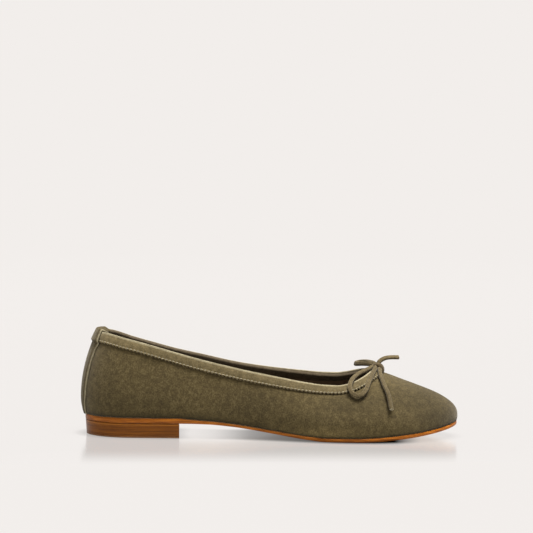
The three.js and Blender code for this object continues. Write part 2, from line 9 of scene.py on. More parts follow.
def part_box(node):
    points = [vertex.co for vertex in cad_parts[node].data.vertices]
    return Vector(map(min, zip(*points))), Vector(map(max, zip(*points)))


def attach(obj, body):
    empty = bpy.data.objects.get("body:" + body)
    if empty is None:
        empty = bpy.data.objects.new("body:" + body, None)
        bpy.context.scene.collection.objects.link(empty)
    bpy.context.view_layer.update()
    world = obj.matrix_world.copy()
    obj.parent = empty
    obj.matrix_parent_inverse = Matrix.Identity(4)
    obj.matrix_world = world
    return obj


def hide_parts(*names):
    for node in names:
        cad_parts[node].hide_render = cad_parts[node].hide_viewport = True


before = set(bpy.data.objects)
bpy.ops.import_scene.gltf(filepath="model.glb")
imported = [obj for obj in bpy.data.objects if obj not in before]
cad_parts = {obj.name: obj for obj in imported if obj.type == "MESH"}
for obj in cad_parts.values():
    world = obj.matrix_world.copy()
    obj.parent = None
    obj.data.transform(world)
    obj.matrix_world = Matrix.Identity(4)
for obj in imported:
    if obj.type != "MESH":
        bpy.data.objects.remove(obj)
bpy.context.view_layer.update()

MM = 0.001

# Sizes of the last and its pieces in millimetres, as in the CAD model
LENGTH = 250
BALL_WIDTH = 80
BACK_HEIGHT = 67.6
THROAT_HEIGHT = 43.3
TOE_SPRING = 8.4
HEEL_HEIGHT = 9.4
HEEL_INSET = 0.2  # of the heel block's top, inside the sole's edge
HEEL_TAPER = 0.7  # how much further in the block's foot is
BREAST_HOLLOW = 2.5
BELLY = 2
BELLY_HEIGHT = 11.5
GAP = 0.3
WALL = 1.6
SEAT_THICKNESS = 3.4
SOLE_THICKNESS = 2.5
INSOLE_THICKNESS = 2
TAPE = 0.8
TAPE_WIDTH = 6.3
TAPE_TURN_IN = 5
STRIP = 0.9
STRIP_TOP_WIDTH = 33.6
STRIP_FOOT_WIDTH = 21.5
STRIP_TURN_IN = 9

# Shares of the last's length, as in the CAD model
THROAT_AT = 0.772
HEEL_BREAST_AT = 0.262
HEEL_ROUND = 0.13  # how long the round end of the plan is at the heel
TOE_ROUND = 0.28
# Past each fan the sections stop crossing the last squarely and turn round a pole on the crest
HEEL_FAN = 0.3
HEEL_POLE = 0.15
TOE_FAN = 0.8
TOE_POLE = 0.93

STRIP_FLARE = 1.6  # the power by which the back strip widens upwards
SLOPE_STEP = 0.01  # how far off the points are that a slope is measured between, in degrees or shares
FINE_POINTS = 1601  # by which the length of a curve is measured
RIM_HALVINGS = 24  # steps in which the cut edge is closed in on

# The last from above: where the crest runs, and how far the widest line lies from it on each side
PLAN = {
    "at": [0.0, 0.14, 0.27, 0.4, 0.5, 0.6, 0.68, 0.76, 0.86, 1.0],
    "axis": [0.0, 0.0, 0.0, 0.006, 0.013, 0.02, 0.028, 0.035, 0.045, 0.062],
    "outer": [0.356, 0.362, 0.354, 0.362, 0.394, 0.465, 0.511, 0.518, 0.508, 0.482],
    "inner": [0.356, 0.356, 0.331, 0.306, 0.331, 0.4, 0.46, 0.481, 0.469, 0.438],
}
# The last from the end
SECTIONS = {
    "at": [0.0, 0.14, 0.3, 0.4, 0.5, 0.58, 0.66, 0.784, 0.86, 0.928, 1.0],
    "swell_outer": [1.0, 0.9, 0.75, 0.7, 0.7, 0.7, 0.7, 0.6, 0.55, 0.4, 0.25],
    "swell_inner": [1.0, 0.95, 1.05, 1.4, 1.4, 1.1, 0.8, 0.6, 0.55, 0.4, 0.25],
    "belly": [1.0, 0.96, 0.87, 0.83, 0.83, 0.8, 0.76, 0.7, 0.58, 0.44, 0.23],
    "crest": [2.2, 2.0, 1.5, 1.02, 0.58, 0.36, 0.18, 0.0, -0.26, -0.52, -0.84],
    "wall": [0.5, 0.5, 0.5, 0.5, 0.48, 0.47, 0.48, 0.5, 0.53, 0.6, 0.76],
    "crown": [0.38, 0.5, 0.62, 0.66, 0.62, 0.45, 0.28, 0.34, 0.45, 0.56, 0.8],
}
# The cut edge of the upper from the side
RIM = {
    "at": [
        0.0, 0.065, 0.171, 0.24, 0.308, 0.412, 0.514, 0.583, 0.687, 0.755, 0.829, 0.874, 0.915, 0.952, 1.0,
    ],
    "outer": [
        1.0, 0.985, 0.82, 0.68, 0.53, 0.31, 0.12, 0.0, -0.16, -0.26, -0.34, -0.355, -0.31, -0.2, 0.0,
    ],
    "inner": [
        1.0, 0.985, 0.73, 0.58, 0.44, 0.27, 0.1, 0.01, -0.09, -0.14, -0.18, -0.185, -0.14, -0.06, 0.0,
    ],
}
# The underside of the sole, from the breast of the heel to the tip
SOLE = {
    "at": [
        0.0, 0.038, 0.106, 0.187, 0.255, 0.322, 0.39, 0.458, 0.519, 0.634, 0.702, 0.77, 0.837, 0.905, 0.959,
        1.0,
    ],
    "heel": [1.0, 1.0, 0.97, 0.84, 0.67, 0.47, 0.27, 0.1, 0.0, 0.0, 0.0, 0.0, 0.0, 0.0, 0.0, 0.0],
    "spring": [0.0, 0.0, 0.0, 0.0, 0.0, 0.0, 0.0, 0.0, 0.0, 0.0, 0.06, 0.17, 0.32, 0.54, 0.77, 1.0],
    "thick": [1.0, 0.3, -0.4, -0.7, -0.8, -0.7, -0.5, -0.25, -0.1, 0.0, 0.0, 0.0, 0.0, 0.0, 0.0, 0.0],
}

# The bow's cords, in millimetres from the middle of the knot, as in the CAD model
LOOP_OUTER = [
    (-3.3, -3.9, -0.9), (-6.4, -8.0, -2.0), (-10.3, -12.6, -3.4), (-14.2, -17.6, -5.0), (-17.2, -23.4, -7.2),
    (-19.0, -28.6, -10.0), (-19.1, -31.6, -12.5), (-18.2, -33.2, -14.6), (-16.3, -34.2, -16.1),
    (-13.7, -34.8, -16.8), (-11.4, -34.2, -16.2), (-9.5, -32.4, -14.6), (-8.0, -29.2, -12.2),
    (-6.6, -24.8, -9.1), (-4.9, -18.6, -6.0), (-3.0, -11.8, -3.3), (-1.3, -6.0, -1.3),
]
LOOP_INNER = [
    (-3.4, 4.1, 0.1), (-6.7, 6.9, -0.1), (-10.3, 10.4, -0.4), (-12.9, 14.0, -0.9), (-14.0, 18.0, -1.2),
    (-13.1, 21.8, -1.0), (-10.4, 23.2, -0.5), (-6.9, 19.2, 0.1), (-4.0, 12.8, 0.4), (-1.4, 6.3, 0.4),
]
TAIL_LOWER = [
    (1.3, -4.8, -1.4), (1.3, -10.6, -3.6), (2.1, -17.6, -7.2), (3.7, -24.0, -11.3), (5.9, -30.8, -16.1),
    (8.8, -37.9, -24.4),
]
TAIL_UPPER = [(2.4, 1.9, 2.9), (4.9, 3.2, 4.1), (8.4, 4.9, 4.6), (14.4, 7.2, 4.5)]


def through(rows, column):
    """A smooth function through one column of a table that never swings past its rows."""
    x, y = np.array(rows["at"], float), np.array(rows[column], float)
    run = np.diff(x)
    slope = np.diff(y) / run
    tangent = np.zeros_like(y)
    tangent[0], tangent[-1] = slope[0], slope[-1]
    for i in range(1, len(slope)):
        if slope[i - 1] * slope[i] > 0:
            before, after = 2 * run[i] + run[i - 1], run[i] + 2 * run[i - 1]
            tangent[i] = (before + after) / (before / slope[i - 1] + after / slope[i])

    def value(at):
        share = np.clip(at, x[0], x[-1])
        i = np.clip(np.searchsorted(x, share, side="left") - 1, 0, len(run) - 1)
        t = (share - x[i]) / run[i]
        rise = t * t * (3 - 2 * t)
        leave = t * (1 - t) ** 2 * run[i] * tangent[i]
        arrive = t * t * (t - 1) * run[i] * tangent[i + 1]
        return y[i] + (y[i + 1] - y[i]) * rise + leave + arrive

    return value


plan = {name: through(PLAN, name) for name in PLAN}
section = {name: through(SECTIONS, name) for name in SECTIONS}
rim = {name: through(RIM, name) for name in RIM}
sole = {name: through(SOLE, name) for name in SOLE}


def mix(a, b, share):
    return a + (b - a) * share


def unit(vectors):
    return vectors / np.maximum(np.linalg.norm(vectors, axis=-1, keepdims=True), 1e-12)


def smooth(value, low, high):
    """0 below low, 1 above high, and a soft step between them."""
    t = np.clip((value - low) / (high - low), 0, 1)
    return t * t * (3 - 2 * t)


def x_at(share):
    return (share - 0.5) * LENGTH


def share_at(x):
    return x / LENGTH + 0.5


def height_of(rise):
    return mix(THROAT_HEIGHT, BACK_HEIGHT, rise)


def from_breast(x):
    return (share_at(x) - HEEL_BREAST_AT) / (1 - HEEL_BREAST_AT)


def sole_bottom(x):
    at = from_breast(x)
    return sole["heel"](at) * (HEEL_HEIGHT + GAP) + sole["spring"](at) * TOE_SPRING


def sole_top(x):
    return sole_bottom(x) + mix(SOLE_THICKNESS, SEAT_THICKNESS, sole["thick"](from_breast(x)))


def round_ends(share):
    heel = np.clip(1 - share / HEEL_ROUND, 0, 1)
    toe = np.clip(1 - (1 - share) / TOE_ROUND, 0, 1)
    return np.sqrt(1 - heel * heel) * np.sqrt(1 - toe * toe)


def share_of_turn(turn):
    return (1 - np.cos(np.radians(turn))) / 2


def turn_of_share(share):
    return np.degrees(np.arccos(1 - 2 * share))


def widest(turn):
    """The widest line of the upper, from above. turn is 0 at the back seam and 180 at the toe."""
    turn = np.asarray(turn, float)
    share = share_of_turn(turn)
    side = np.sin(np.radians(turn))
    half = np.where(side < 0, plan["outer"](share), plan["inner"](share)) * round_ends(share)
    return np.stack([x_at(share), (plan["axis"](share) + np.sign(side) * half) * BALL_WIDTH], -1)


def feather_line(turn, extra=0.0):
    """The edge of the sole, from above."""
    along = unit(widest(turn + SLOPE_STEP) - widest(turn - SLOPE_STEP))
    share = share_of_turn(turn)
    blend = (1 + np.sin(np.radians(turn))) / 2
    swell = mix(section["swell_outer"](share), section["swell_inner"](share), blend) * BELLY
    inward = np.stack([along[..., 1], -along[..., 0]], -1)
    return widest(turn) + inward * (swell + extra)[..., None]


def landing(turn):
    """Where the section at this turn meets the crest."""
    share = share_of_turn(turn)

    def fan(start, end, pole):
        t = np.clip((share - start) / (end - start), 0, 1)
        pull = 1 - (pole - start) / (end - start)
        return start + (end - start) * (t - pull * t * t)

    at = np.where(share > TOE_FAN, fan(TOE_FAN, 1, TOE_POLE), share)
    at = np.where(share < HEEL_FAN, fan(HEEL_FAN, 0, HEEL_POLE), at)
    return np.stack([x_at(at), plan["axis"](at) * BALL_WIDTH], -1)


def form(turn, lift):
    """A point on the outside of the upper: lift is -1 at the sole, 0 at the widest line, 1 on the crest."""
    turn, lift = np.broadcast_arrays(np.asarray(turn, float), np.asarray(lift, float))
    share = share_of_turn(turn)
    edge = widest(turn)
    foot = sole_top(edge[..., 0]) + GAP
    belly = section["belly"](share) * BELLY_HEIGHT
    under = mix(edge, feather_line(turn), (lift * lift)[..., None])
    rest = 1 - lift
    shoulder = 3 * rest * lift * lift
    reach = rest**3 + 3 * rest * rest * lift + shoulder * section["crown"](share)
    climb = 3 * rest * rest * lift * section["wall"](share) + shoulder + lift**3
    over = mix(landing(turn), edge, reach[..., None])
    top = height_of(section["crest"](share_at(over[..., 0])))
    below = lift <= 0
    spot = np.where(below[..., None], under, over)
    height = np.where(below, foot + belly * (1 + lift), mix(foot + belly, top, climb))
    return np.concatenate([spot, height[..., None]], -1)


def slopes(turn, lift):
    """How the form slopes along the turn and along the lift, and the way straight out of it."""
    turn, lift = np.broadcast_arrays(np.asarray(turn, float), np.asarray(lift, float))
    high = np.minimum(lift + SLOPE_STEP, 1)
    along_turn = form(turn + SLOPE_STEP, lift) - form(turn - SLOPE_STEP, lift)
    along_lift = form(turn, high) - form(turn, high - 2 * SLOPE_STEP)
    at = share_at(landing(turn)[..., 0])
    rise = height_of(section["crest"](at + SLOPE_STEP)) - height_of(section["crest"](at - SLOPE_STEP))
    crest_out = unit(np.stack([-rise, np.zeros_like(rise), np.full_like(rise, 2 * SLOPE_STEP * LENGTH)], -1))
    out = np.where((lift < 1)[..., None], unit(np.cross(along_lift, along_turn)), crest_out)
    return along_turn / (2 * SLOPE_STEP), along_lift / (2 * SLOPE_STEP), out


def off_form(turn, lift, distance):
    return form(turn, lift) + slopes(turn, lift)[2] * np.asarray(distance, float)[..., None]


THROAT_TURN = float(turn_of_share(THROAT_AT))


def rim_at(position):
    """Turn and lift of the cut edge, whose position is 0 at the back seam and -1 and 1 at the throat."""
    way = np.abs(position)
    turn = np.sign(position) * THROAT_TURN * way * (2 - way)
    low, high = np.zeros_like(way), np.ones_like(way)
    for _ in range(RIM_HALVINGS):
        lift = (low + high) / 2
        point = form(turn, lift)
        at = share_at(point[..., 0]) / THROAT_AT
        under = point[..., 2] < height_of(np.where(position < 0, rim["outer"](at), rim["inner"](at)))
        low, high = np.where(under, lift, low), np.where(under, high, lift)
    return turn, np.where(way >= 1, 1.0, (low + high) / 2)


def rim_line(position):
    return form(*rim_at(position))


def below_rim(position, depth):
    """Turn and lift of the place some way below the cut edge, measured square to the edge."""
    position, depth = np.broadcast_arrays(np.asarray(position, float), np.asarray(depth, float))
    turn, lift = rim_at(position)
    on_crest = np.abs(position) >= 1
    reach, steps = 1e-3, 6
    along = rim_line(np.minimum(position + reach, 1)) - rim_line(np.maximum(position - reach, -1))
    along = np.where(on_crest[..., None], np.array([0.0, -1.0, 0.0]), along)
    for _ in range(steps):
        along_turn, along_lift, out = slopes(turn, lift)
        down = unit(np.cross(out, along)) * (depth / steps)[..., None]
        tt, ll = (along_turn**2).sum(-1), (along_lift**2).sum(-1)
        tl = (along_turn * along_lift).sum(-1)
        dt, dl = (down * along_turn).sum(-1), (down * along_lift).sum(-1)
        scale = np.where(on_crest, 1.0, tt * ll - tl * tl)
        turn = turn + np.where(on_crest, dt / tt, (dt * ll - dl * tl) / scale)
        lift = np.where(on_crest, 1.0, np.minimum(lift + (dl * tt - dt * tl) / scale, 1))
    return turn, lift


def travelled(curve, start, end):
    """Fine steps from start to end, and how far along a curve each one is."""
    fine = np.linspace(start, end, FINE_POINTS)
    paces = np.linalg.norm(np.diff(curve(fine), axis=0), axis=-1)
    return fine, np.concatenate([[0], np.cumsum(paces)])


def evenly(curve, start, end, count):
    """Values from start to end that are evenly spaced along a curve."""
    fine, length = travelled(curve, start, end)
    return np.interp(np.linspace(0, length[-1], count + 1), length, fine)


# Where the last's own frame stands in the row's frame
upper_low, upper_high = (np.array(corner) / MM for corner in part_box("upper"))
outline = widest(np.linspace(-180, 180, 3601))
SHIFT = np.array([
    (upper_low[0] + upper_high[0] - outline[:, 0].min() - outline[:, 0].max()) / 2,
    (upper_low[1] + upper_high[1] - outline[:, 1].min() - outline[:, 1].max()) / 2,
    0.0,
])
KNOT_AT = (np.array(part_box("bow_knot")[0]) + np.array(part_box("bow_knot")[1])) / 2 / MM


def to_linear(hex_colour):
    """An sRGB hex colour as the linear RGBA that Blender's sockets take."""
    channels = [int(hex_colour[i : i + 2], 16) / 255 for i in (1, 3, 5)]
    return (*(c / 12.92 if c <= 0.04045 else ((c + 0.055) / 1.055) ** 2.4 for c in channels), 1.0)


def add(material, kind, inputs=None, **settings):
    """Adds a shader node. inputs holds, by a socket's name or number, a value or the output linked to it."""
    tree = material.node_tree
    made = tree.nodes.new("ShaderNode" + kind)
    for name, value in settings.items():
        setattr(made, name, value)
    for key, value in (inputs or {}).items():
        if isinstance(value, bpy.types.NodeSocket):
            tree.links.new(value, made.inputs[key])
        else:
            made.inputs[key].default_value = value
    return made


def new_material(name):
    """An empty material with its output, and the coordinates of its patterns in millimetres."""
    material = bpy.data.materials.new(name)
    material.use_nodes = True
    material.node_tree.nodes.clear()
    place = add(material, "TexCoord").outputs["Object"]
    in_mm = add(material, "Mapping", {"Vector": place, "Scale": (1 / MM,) * 3}).outputs[0]
    return material, in_mm


def finish_material(material, shader):
    add(material, "OutputMaterial", {"Surface": shader.outputs[0]})
    return material


def colour_ramp(material, factor, *stops):
    """A ramp from (place, hex colour) stops."""
    ramp = add(material, "ValToRGB", {"Fac": factor})
    elements = ramp.color_ramp.elements
    while len(elements) < len(stops):
        elements.new(0.5)
    for element, (place, colour) in zip(elements, stops):
        element.position = place
        element.color = to_linear(colour)
    return ramp.outputs["Color"]


def toned(material, colour):
    """The colour, made lighter or darker by the "tone" value of each point of the piece."""
    tone = add(material, "Attribute", attribute_name="tone").outputs["Fac"]
    return add(material, "VectorMath", {0: colour, "Scale": tone}, operation="SCALE").outputs[0]


def suede(name, dark, middle, light, patch_mm, nap_mm, relief, has_tone=False):
    """Suede: the flesh side of calf, buffed to a short nap. Brushed patches of nap lean different ways, so
    that the colour clouds softly, and its fibres scatter light at grazing angles without any gloss. patch_mm
    and nap_mm are the sizes of its patches and flecks, coarser than real nap so that they show."""
    material, mm = new_material(name)
    brushed = add(material, "Mapping", {"Vector": mm, "Scale": (1.0, 1.0, 0.9)}).outputs[0]
    patches = add(material, "TexNoise", {
        "Vector": brushed, "Scale": 1 / patch_mm, "Detail": 4, "Roughness": 0.6,
    }).outputs["Fac"]
    flecks = add(material, "TexNoise", {
        "Vector": brushed, "Scale": 1 / nap_mm, "Detail": 3, "Roughness": 0.7,
    }).outputs["Fac"]
    # What the light catches is about three times finer than the flecks
    nap = add(material, "TexNoise", {
        "Vector": mm, "Scale": 3.2 / nap_mm, "Detail": 2, "Roughness": 0.6,
    }).outputs["Fac"]
    cloud = add(material, "Math", {0: patches, 1: 0.4}, operation="MULTIPLY").outputs[0]
    grain = add(material, "Math", {0: flecks, 1: 0.6, 2: cloud}, operation="MULTIPLY_ADD").outputs[0]
    colour = colour_ramp(material, grain, (0.37, dark), (0.5, middle), (0.63, light))
    if has_tone:
        colour = toned(material, colour)
    heights = add(material, "Math", {0: flecks, 1: nap}, operation="ADD").outputs[0]
    bump = add(material, "Bump", {"Height": heights, "Strength": 0.6, "Distance": relief * MM})
    return finish_material(material, add(material, "BsdfPrincipled", {
        "Base Color": colour, "Roughness": 0.95, "IOR": 1.45, "Specular IOR Level": 0.08,
        "Sheen Weight": 0.17, "Sheen Roughness": 0.5, "Sheen Tint": to_linear("#dcd4c6"),
        "Normal": bump.outputs[0],
    }))


olive_suede = suede("olive_suede", "#332b1a", "#433922", "#54492f", 3.2, 0.9, 0.2, has_tone=True)
binding_suede = suede("binding_suede", "#413825", "#50462f", "#60543b", 3.0, 0.8, 0.12, has_tone=True)
cord_suede = suede("cord_suede", "#3a3121", "#4a402b", "#5b4f37", 2.0, 0.7, 0.12, has_tone=True)
# Between two stitches the tape's edge lifts a little, and the shadow under it is painted on as near-black
# suede
gap_shadow_suede = suede("painted_shadow_tape_edge", "#17120a", "#1f180e", "#282014", 2.0, 0.7, 0.08)
knot_suede = suede("knot_suede", "#30271a", "#3f3422", "#50442e", 2.0, 0.7, 0.12)
# The tape's inner face is darker suede: painted shade inside the shoe
shaded_inner_suede = suede("painted_shade_inner_binding", "#332b1f", "#3f3628", "#4b4131", 3.0, 0.8, 0.08)
cut_edge = suede("cut_suede_edge", "#635b46", "#756c55", "#867d65", 3.0, 0.6, 0.08)


def spun_thread():
    """Spun polyester thread, twisted every 0.4 mm and lighter than the suede, with a slight gloss."""
    material, mm = new_material("sewing_thread")
    twist = add(material, "TexNoise", {"Vector": mm, "Scale": 1 / 0.4, "Detail": 2}).outputs["Fac"]
    return finish_material(material, add(material, "BsdfPrincipled", {
        "Base Color": colour_ramp(material, twist, (0.35, "#6a614a"), (0.65, "#898066")),
        "Roughness": 0.6, "IOR": 1.5,
    }))


def smooth_pigskin(name, dark, light):
    """Glazed pigskin with fine pores 0.8 mm apart, rubbed a little lighter in soft patches of 17 mm."""
    material, mm = new_material(name)
    rubbed = add(material, "TexNoise", {"Vector": mm, "Scale": 0.06, "Detail": 3}).outputs["Fac"]
    pores = add(material, "TexVoronoi", {"Vector": mm, "Scale": 1.2}).outputs["Distance"]
    bump = add(material, "Bump", {"Height": pores, "Strength": 0.25, "Distance": 0.08 * MM})
    return finish_material(material, add(material, "BsdfPrincipled", {
        "Base Color": colour_ramp(material, rubbed, (0.3, dark), (0.7, light)),
        "Roughness": 0.7, "IOR": 1.45, "Specular IOR Level": 0.3, "Normal": bump.outputs[0],
    }))


def waxed_sole_edge():
    """Vegetable-tanned sole leather: its edge is stained, waxed and hot-burnished, so it has a soft gloss.
    Its cut fibres are streaks 0.6 mm high and 12 mm long."""
    material, mm = new_material("waxed_sole_edge")
    streaks = add(material, "Mapping", {"Vector": mm, "Scale": (0.08, 0.08, 1.6)}).outputs[0]
    fibres = add(material, "TexNoise", {
        "Vector": streaks, "Scale": 1.0, "Detail": 4, "Roughness": 0.6,
    }).outputs["Fac"]
    bump = add(material, "Bump", {"Height": fibres, "Strength": 0.3, "Distance": 0.08 * MM})
    stain = colour_ramp(material, fibres, (0.32, "#603207"), (0.5, "#7b430b"), (0.7, "#9f601c"))
    return finish_material(material, add(material, "BsdfPrincipled", {
        "Base Color": toned(material, stain),
        "Roughness": 0.38, "IOR": 1.5, "Specular IOR Level": 0.12, "Normal": bump.outputs[0],
    }))


def natural_sole_grain():
    """The same leather's grain side underneath, natural and a little rough: clouds of 20 mm, pores of 0.7."""
    material, mm = new_material("natural_sole_grain")
    hide = add(material, "TexNoise", {
        "Vector": mm, "Scale": 0.05, "Detail": 5, "Roughness": 0.6,
    }).outputs["Fac"]
    pores = add(material, "TexVoronoi", {"Vector": mm, "Scale": 1.4}).outputs["Distance"]
    bump = add(material, "Bump", {"Height": pores, "Strength": 0.3, "Distance": 0.1 * MM})
    return finish_material(material, add(material, "BsdfPrincipled", {
        "Base Color": colour_ramp(material, hide, (0.3, "#c49a6c"), (0.7, "#d8b184")),
        "Roughness": 0.55, "IOR": 1.45, "Normal": bump.outputs[0],
    }))


LIFT_THICKNESS = 2.3


def stacked_heel_leather():
    """Lifts of sole leather glued in a stack, sanded, stained dark and waxed: lines run level, with a glued
    joint at each lift, and a pale band along the top corner of the stack, under the seat, is a painted
    highlight."""
    material, mm = new_material("stacked_heel_leather")
    height = add(material, "SeparateXYZ", {0: mm}).outputs["Z"]
    layers = add(material, "Math", {0: height, 1: 1 / LIFT_THICKNESS}, operation="MULTIPLY").outputs[0]
    within = add(material, "Math", {0: layers}, operation="FRACT").outputs[0]
    level = add(material, "Mapping", {"Vector": mm, "Scale": (0.05, 0.05, 2.2)}).outputs[0]
    fibres = add(material, "TexNoise", {
        "Vector": level, "Scale": 1.0, "Detail": 5, "Roughness": 0.62,
    }).outputs["Fac"]
    stain = colour_ramp(material, fibres, (0.3, "#482603"), (0.5, "#5e3304"), (0.72, "#744309"))
    joint = colour_ramp(
        material, within, (0.0, "#a08460"), (0.08, "#ffffff"), (0.93, "#ffffff"), (1.0, "#a88c68"),
    )
    lined = add(material, "Mix", {
        "Factor": 0.55, 6: stain, 7: joint,
    }, data_type="RGBA", blend_type="MULTIPLY").outputs[2]
    up_stack = add(material, "Math", {0: height, 1: 1 / HEEL_HEIGHT}, operation="MULTIPLY").outputs[0]
    # A painted highlight: a pale band round the top of the stack, just under the seat
    painted_highlight_band = colour_ramp(material, up_stack, (0.86, "#000000"), (0.92, "#b0b0b0"), (0.97, "#000000"))
    rubbed = add(material, "Mix", {"Factor": painted_highlight_band, 6: lined, 7: to_linear("#9a6226")}, data_type="RGBA")
    bump = add(material, "Bump", {"Height": fibres, "Strength": 0.25, "Distance": 0.08 * MM})
    return finish_material(material, add(material, "BsdfPrincipled", {
        "Base Color": rubbed.outputs[2], "Roughness": 0.34, "IOR": 1.5, "Specular IOR Level": 0.13,
        "Normal": bump.outputs[0],
    }))


def moulded_rubber():
    """Hard rubber of the top piece under the heel: moulded, matt and brown, with a grit of 0.7 mm."""
    material, mm = new_material("top_piece_rubber")
    grit = add(material, "TexNoise", {"Vector": mm, "Scale": 1.5, "Detail": 3}).outputs["Fac"]
    return finish_material(material, add(material, "BsdfPrincipled", {
        "Base Color": colour_ramp(material, grit, (0.3, "#5a3816"), (0.7, "#6b451d")),
        "Roughness": 0.65, "IOR": 1.5,
    }))


thread = spun_thread()
lining_leather = smooth_pigskin("lining_pigskin", "#5e4f3e", "#75654f")
sock_leather = smooth_pigskin("sock_pigskin", "#3f3428", "#504436")
waxed_edge = waxed_sole_edge()
sole_grain = natural_sole_grain()
stacked_leather = stacked_heel_leather()
top_rubber = moulded_rubber()


def to_row(points):
    """Millimetres on the last to metres in the row's frame."""
    return (np.asarray(points, float) + SHIFT) * MM


def build(name, parts, materials, merge=2e-6):
    """One mesh object from parts, each a grid of points, whether it closes along and across, and the material
    number of each of its rows of faces or of all of them."""
    corners, faces, numbers = [], [], []
    start = 0
    for points, along, across, finish in parts:
        rows, columns = points.shape[:2]
        corners.append(points.reshape(-1, 3))
        a = np.arange(rows if along else rows - 1)
        b = np.arange(columns if across else columns - 1)
        i, j = np.meshgrid(a, b, indexing="ij")
        i2, j2 = (i + 1) % rows, (j + 1) % columns
        quads = np.stack([i * columns + j, i2 * columns + j, i2 * columns + j2, i * columns + j2], -1)
        faces.append(quads.reshape(-1, 4) + start)
        finish = np.broadcast_to(np.asarray(finish), j.shape)
        numbers.append(finish.reshape(-1))
        start += rows * columns
    mesh = bpy.data.meshes.new(name)
    mesh.from_pydata(np.concatenate(corners).tolist(), [], np.concatenate(faces).tolist())
    mesh.polygons.foreach_set("material_index", np.concatenate(numbers).astype(np.int32))
    for material in materials:
        mesh.materials.append(material)
    welded = bmesh.new()
    welded.from_mesh(mesh)
    bmesh.ops.remove_doubles(welded, verts=welded.verts, dist=merge)
    bmesh.ops.recalc_face_normals(welded, faces=welded.faces)
    welded.to_mesh(mesh)
    welded.free()
    mesh.polygons.foreach_set("use_smooth", np.ones(len(mesh.polygons), bool))
    mesh.update()
    made = bpy.data.objects.new(name, mesh)
    bpy.context.scene.collection.objects.link(made)
    return made


def dress(piece, slot, *nodes):
    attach(piece, "root")
    if nodes:
        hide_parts(*nodes)
    return piece


def give_tone(piece, tone_at):
    """Writes the tone that a piece's material multiplies its colour by, from tone_at(x, z, side)."""
    mesh = piece.data
    flat = np.empty(len(mesh.vertices) * 3)
    mesh.vertices.foreach_get("co", flat)
    x, y, z = (flat.reshape(-1, 3) / MM - SHIFT).T
    side = np.sign(y - plan["axis"](share_at(x)) * BALL_WIDTH)
    layer = mesh.attributes.new("tone", "FLOAT", "POINT")
    layer.data.foreach_set("value", tone_at(x, z, side).astype(np.float32))


def tone_of(places, x, z, side):
    """The tone that a table of places gives. A place is on one side of the shoe, or on both where its side
    is 0, and its size is how far it reaches along and up."""
    tone = np.ones(len(x))
    for place in places:
        along = (x - place["at"][0]) / place["size"][0]
        up = (z - place["at"][1]) / place["size"][1]
        here = (side == place["side"]) | (place["side"] == 0)
        tone += place["tone"] * np.exp(-along * along - up * up) * here
    return tone


# ---- The camera: the photo's angle, level with the shoe's side and a little above it
CAMERA_DISTANCE = 1.6
CAMERA_ELEVATION = math.radians(7.5)
CAMERA_ROLL = math.radians(0.7)
SENSOR_WIDTH = 36
FOCAL_SHARE = 4.490  # focal length as a share of the picture's width
ORIGIN_IN_FRAME = (0.0049, -0.3146)  # where the frame's origin shows, as shares of the width from the middle

camera_data = bpy.data.cameras.new("camera")
camera_data.sensor_width = SENSOR_WIDTH
camera_data.lens = FOCAL_SHARE * SENSOR_WIDTH
camera_data.clip_end = 20
camera = bpy.data.objects.new("camera", camera_data)
bpy.context.scene.collection.objects.link(camera)
bpy.context.scene.camera = camera
level_right = Vector((1, 0, 0))
level_up = Vector((0, math.sin(CAMERA_ELEVATION), math.cos(CAMERA_ELEVATION)))
camera_back = Vector((0, -math.cos(CAMERA_ELEVATION), math.sin(CAMERA_ELEVATION)))
camera_right = level_right * math.cos(CAMERA_ROLL) + level_up * math.sin(CAMERA_ROLL)
camera_up = level_up * math.cos(CAMERA_ROLL) - level_right * math.sin(CAMERA_ROLL)
facing_origin = Matrix((camera_right, camera_up, camera_back)).transposed()
swing = Vector((0, 0, -1)).rotation_difference(Vector((*ORIGIN_IN_FRAME, -FOCAL_SHARE))).to_matrix()
swung = (facing_origin @ swing.transposed()).to_4x4()
camera.matrix_world = Matrix.Translation(camera_back * CAMERA_DISTANCE) @ swung

# ---- The bow

CORD_WIDTH = 3.0
CORD_THICKNESS = 2.3
CORD_SEAM = 0.22  # how deep the groove is where the folded strip's edges meet
CORD_CORNERS = 28  # points round the cord's section
CORD_ROUNDING = 0.8  # the power that makes its section flat with round edges, where 1 is an ellipse
SEAM_AT, SEAM_WIDTH = 0.12, 0.09  # of the groove, as shares of the cord's width
CORD_STEPS = 260
CUT_FLAT, CUT_REACH = 0.86, 0.25  # of a cut end: how wide it is flat, and how far it stands out, in steps


def curve_through(points, count):
    """Evenly spaced points on a smooth curve through the given ones."""
    points = np.asarray(points, float)
    chords = np.sqrt(np.linalg.norm(np.diff(points, axis=0), axis=1))
    knots = np.concatenate([[0], np.cumsum(chords)])
    tangent = np.gradient(points, knots, axis=0)

    def at(t):
        i = np.clip(np.searchsorted(knots, t, side="right") - 1, 0, len(knots) - 2)
        run = (knots[i + 1] - knots[i])[:, None]
        s = ((t - knots[i]) / run[:, 0])[:, None]
        a = points[i] * (1 + 2 * s) * (1 - s) ** 2 + points[i + 1] * s * s * (3 - 2 * s)
        return a + run * (tangent[i] * s * (1 - s) ** 2 - tangent[i + 1] * s * s * (1 - s))

    return at(evenly(at, 0, knots[-1], count))


def rings_along(path, tangent, out, profile):
    """The cord's section, as (across, outward) points, at each point of a path."""
    side = np.cross(tangent, out)
    across, outward = profile
    return path[:, None] + side[:, None] * across[None, :, None] + out[:, None] * outward[None, :, None]


def sweep(path, facing, profile):
    """Rings of a flat cord along a path. facing is the way that the cord's flat side looks, at each point."""
    tangent = unit(np.gradient(path, axis=0))
    out = unit(facing - (facing * tangent).sum(-1, keepdims=True) * tangent)
    return rings_along(path, tangent, out, profile)


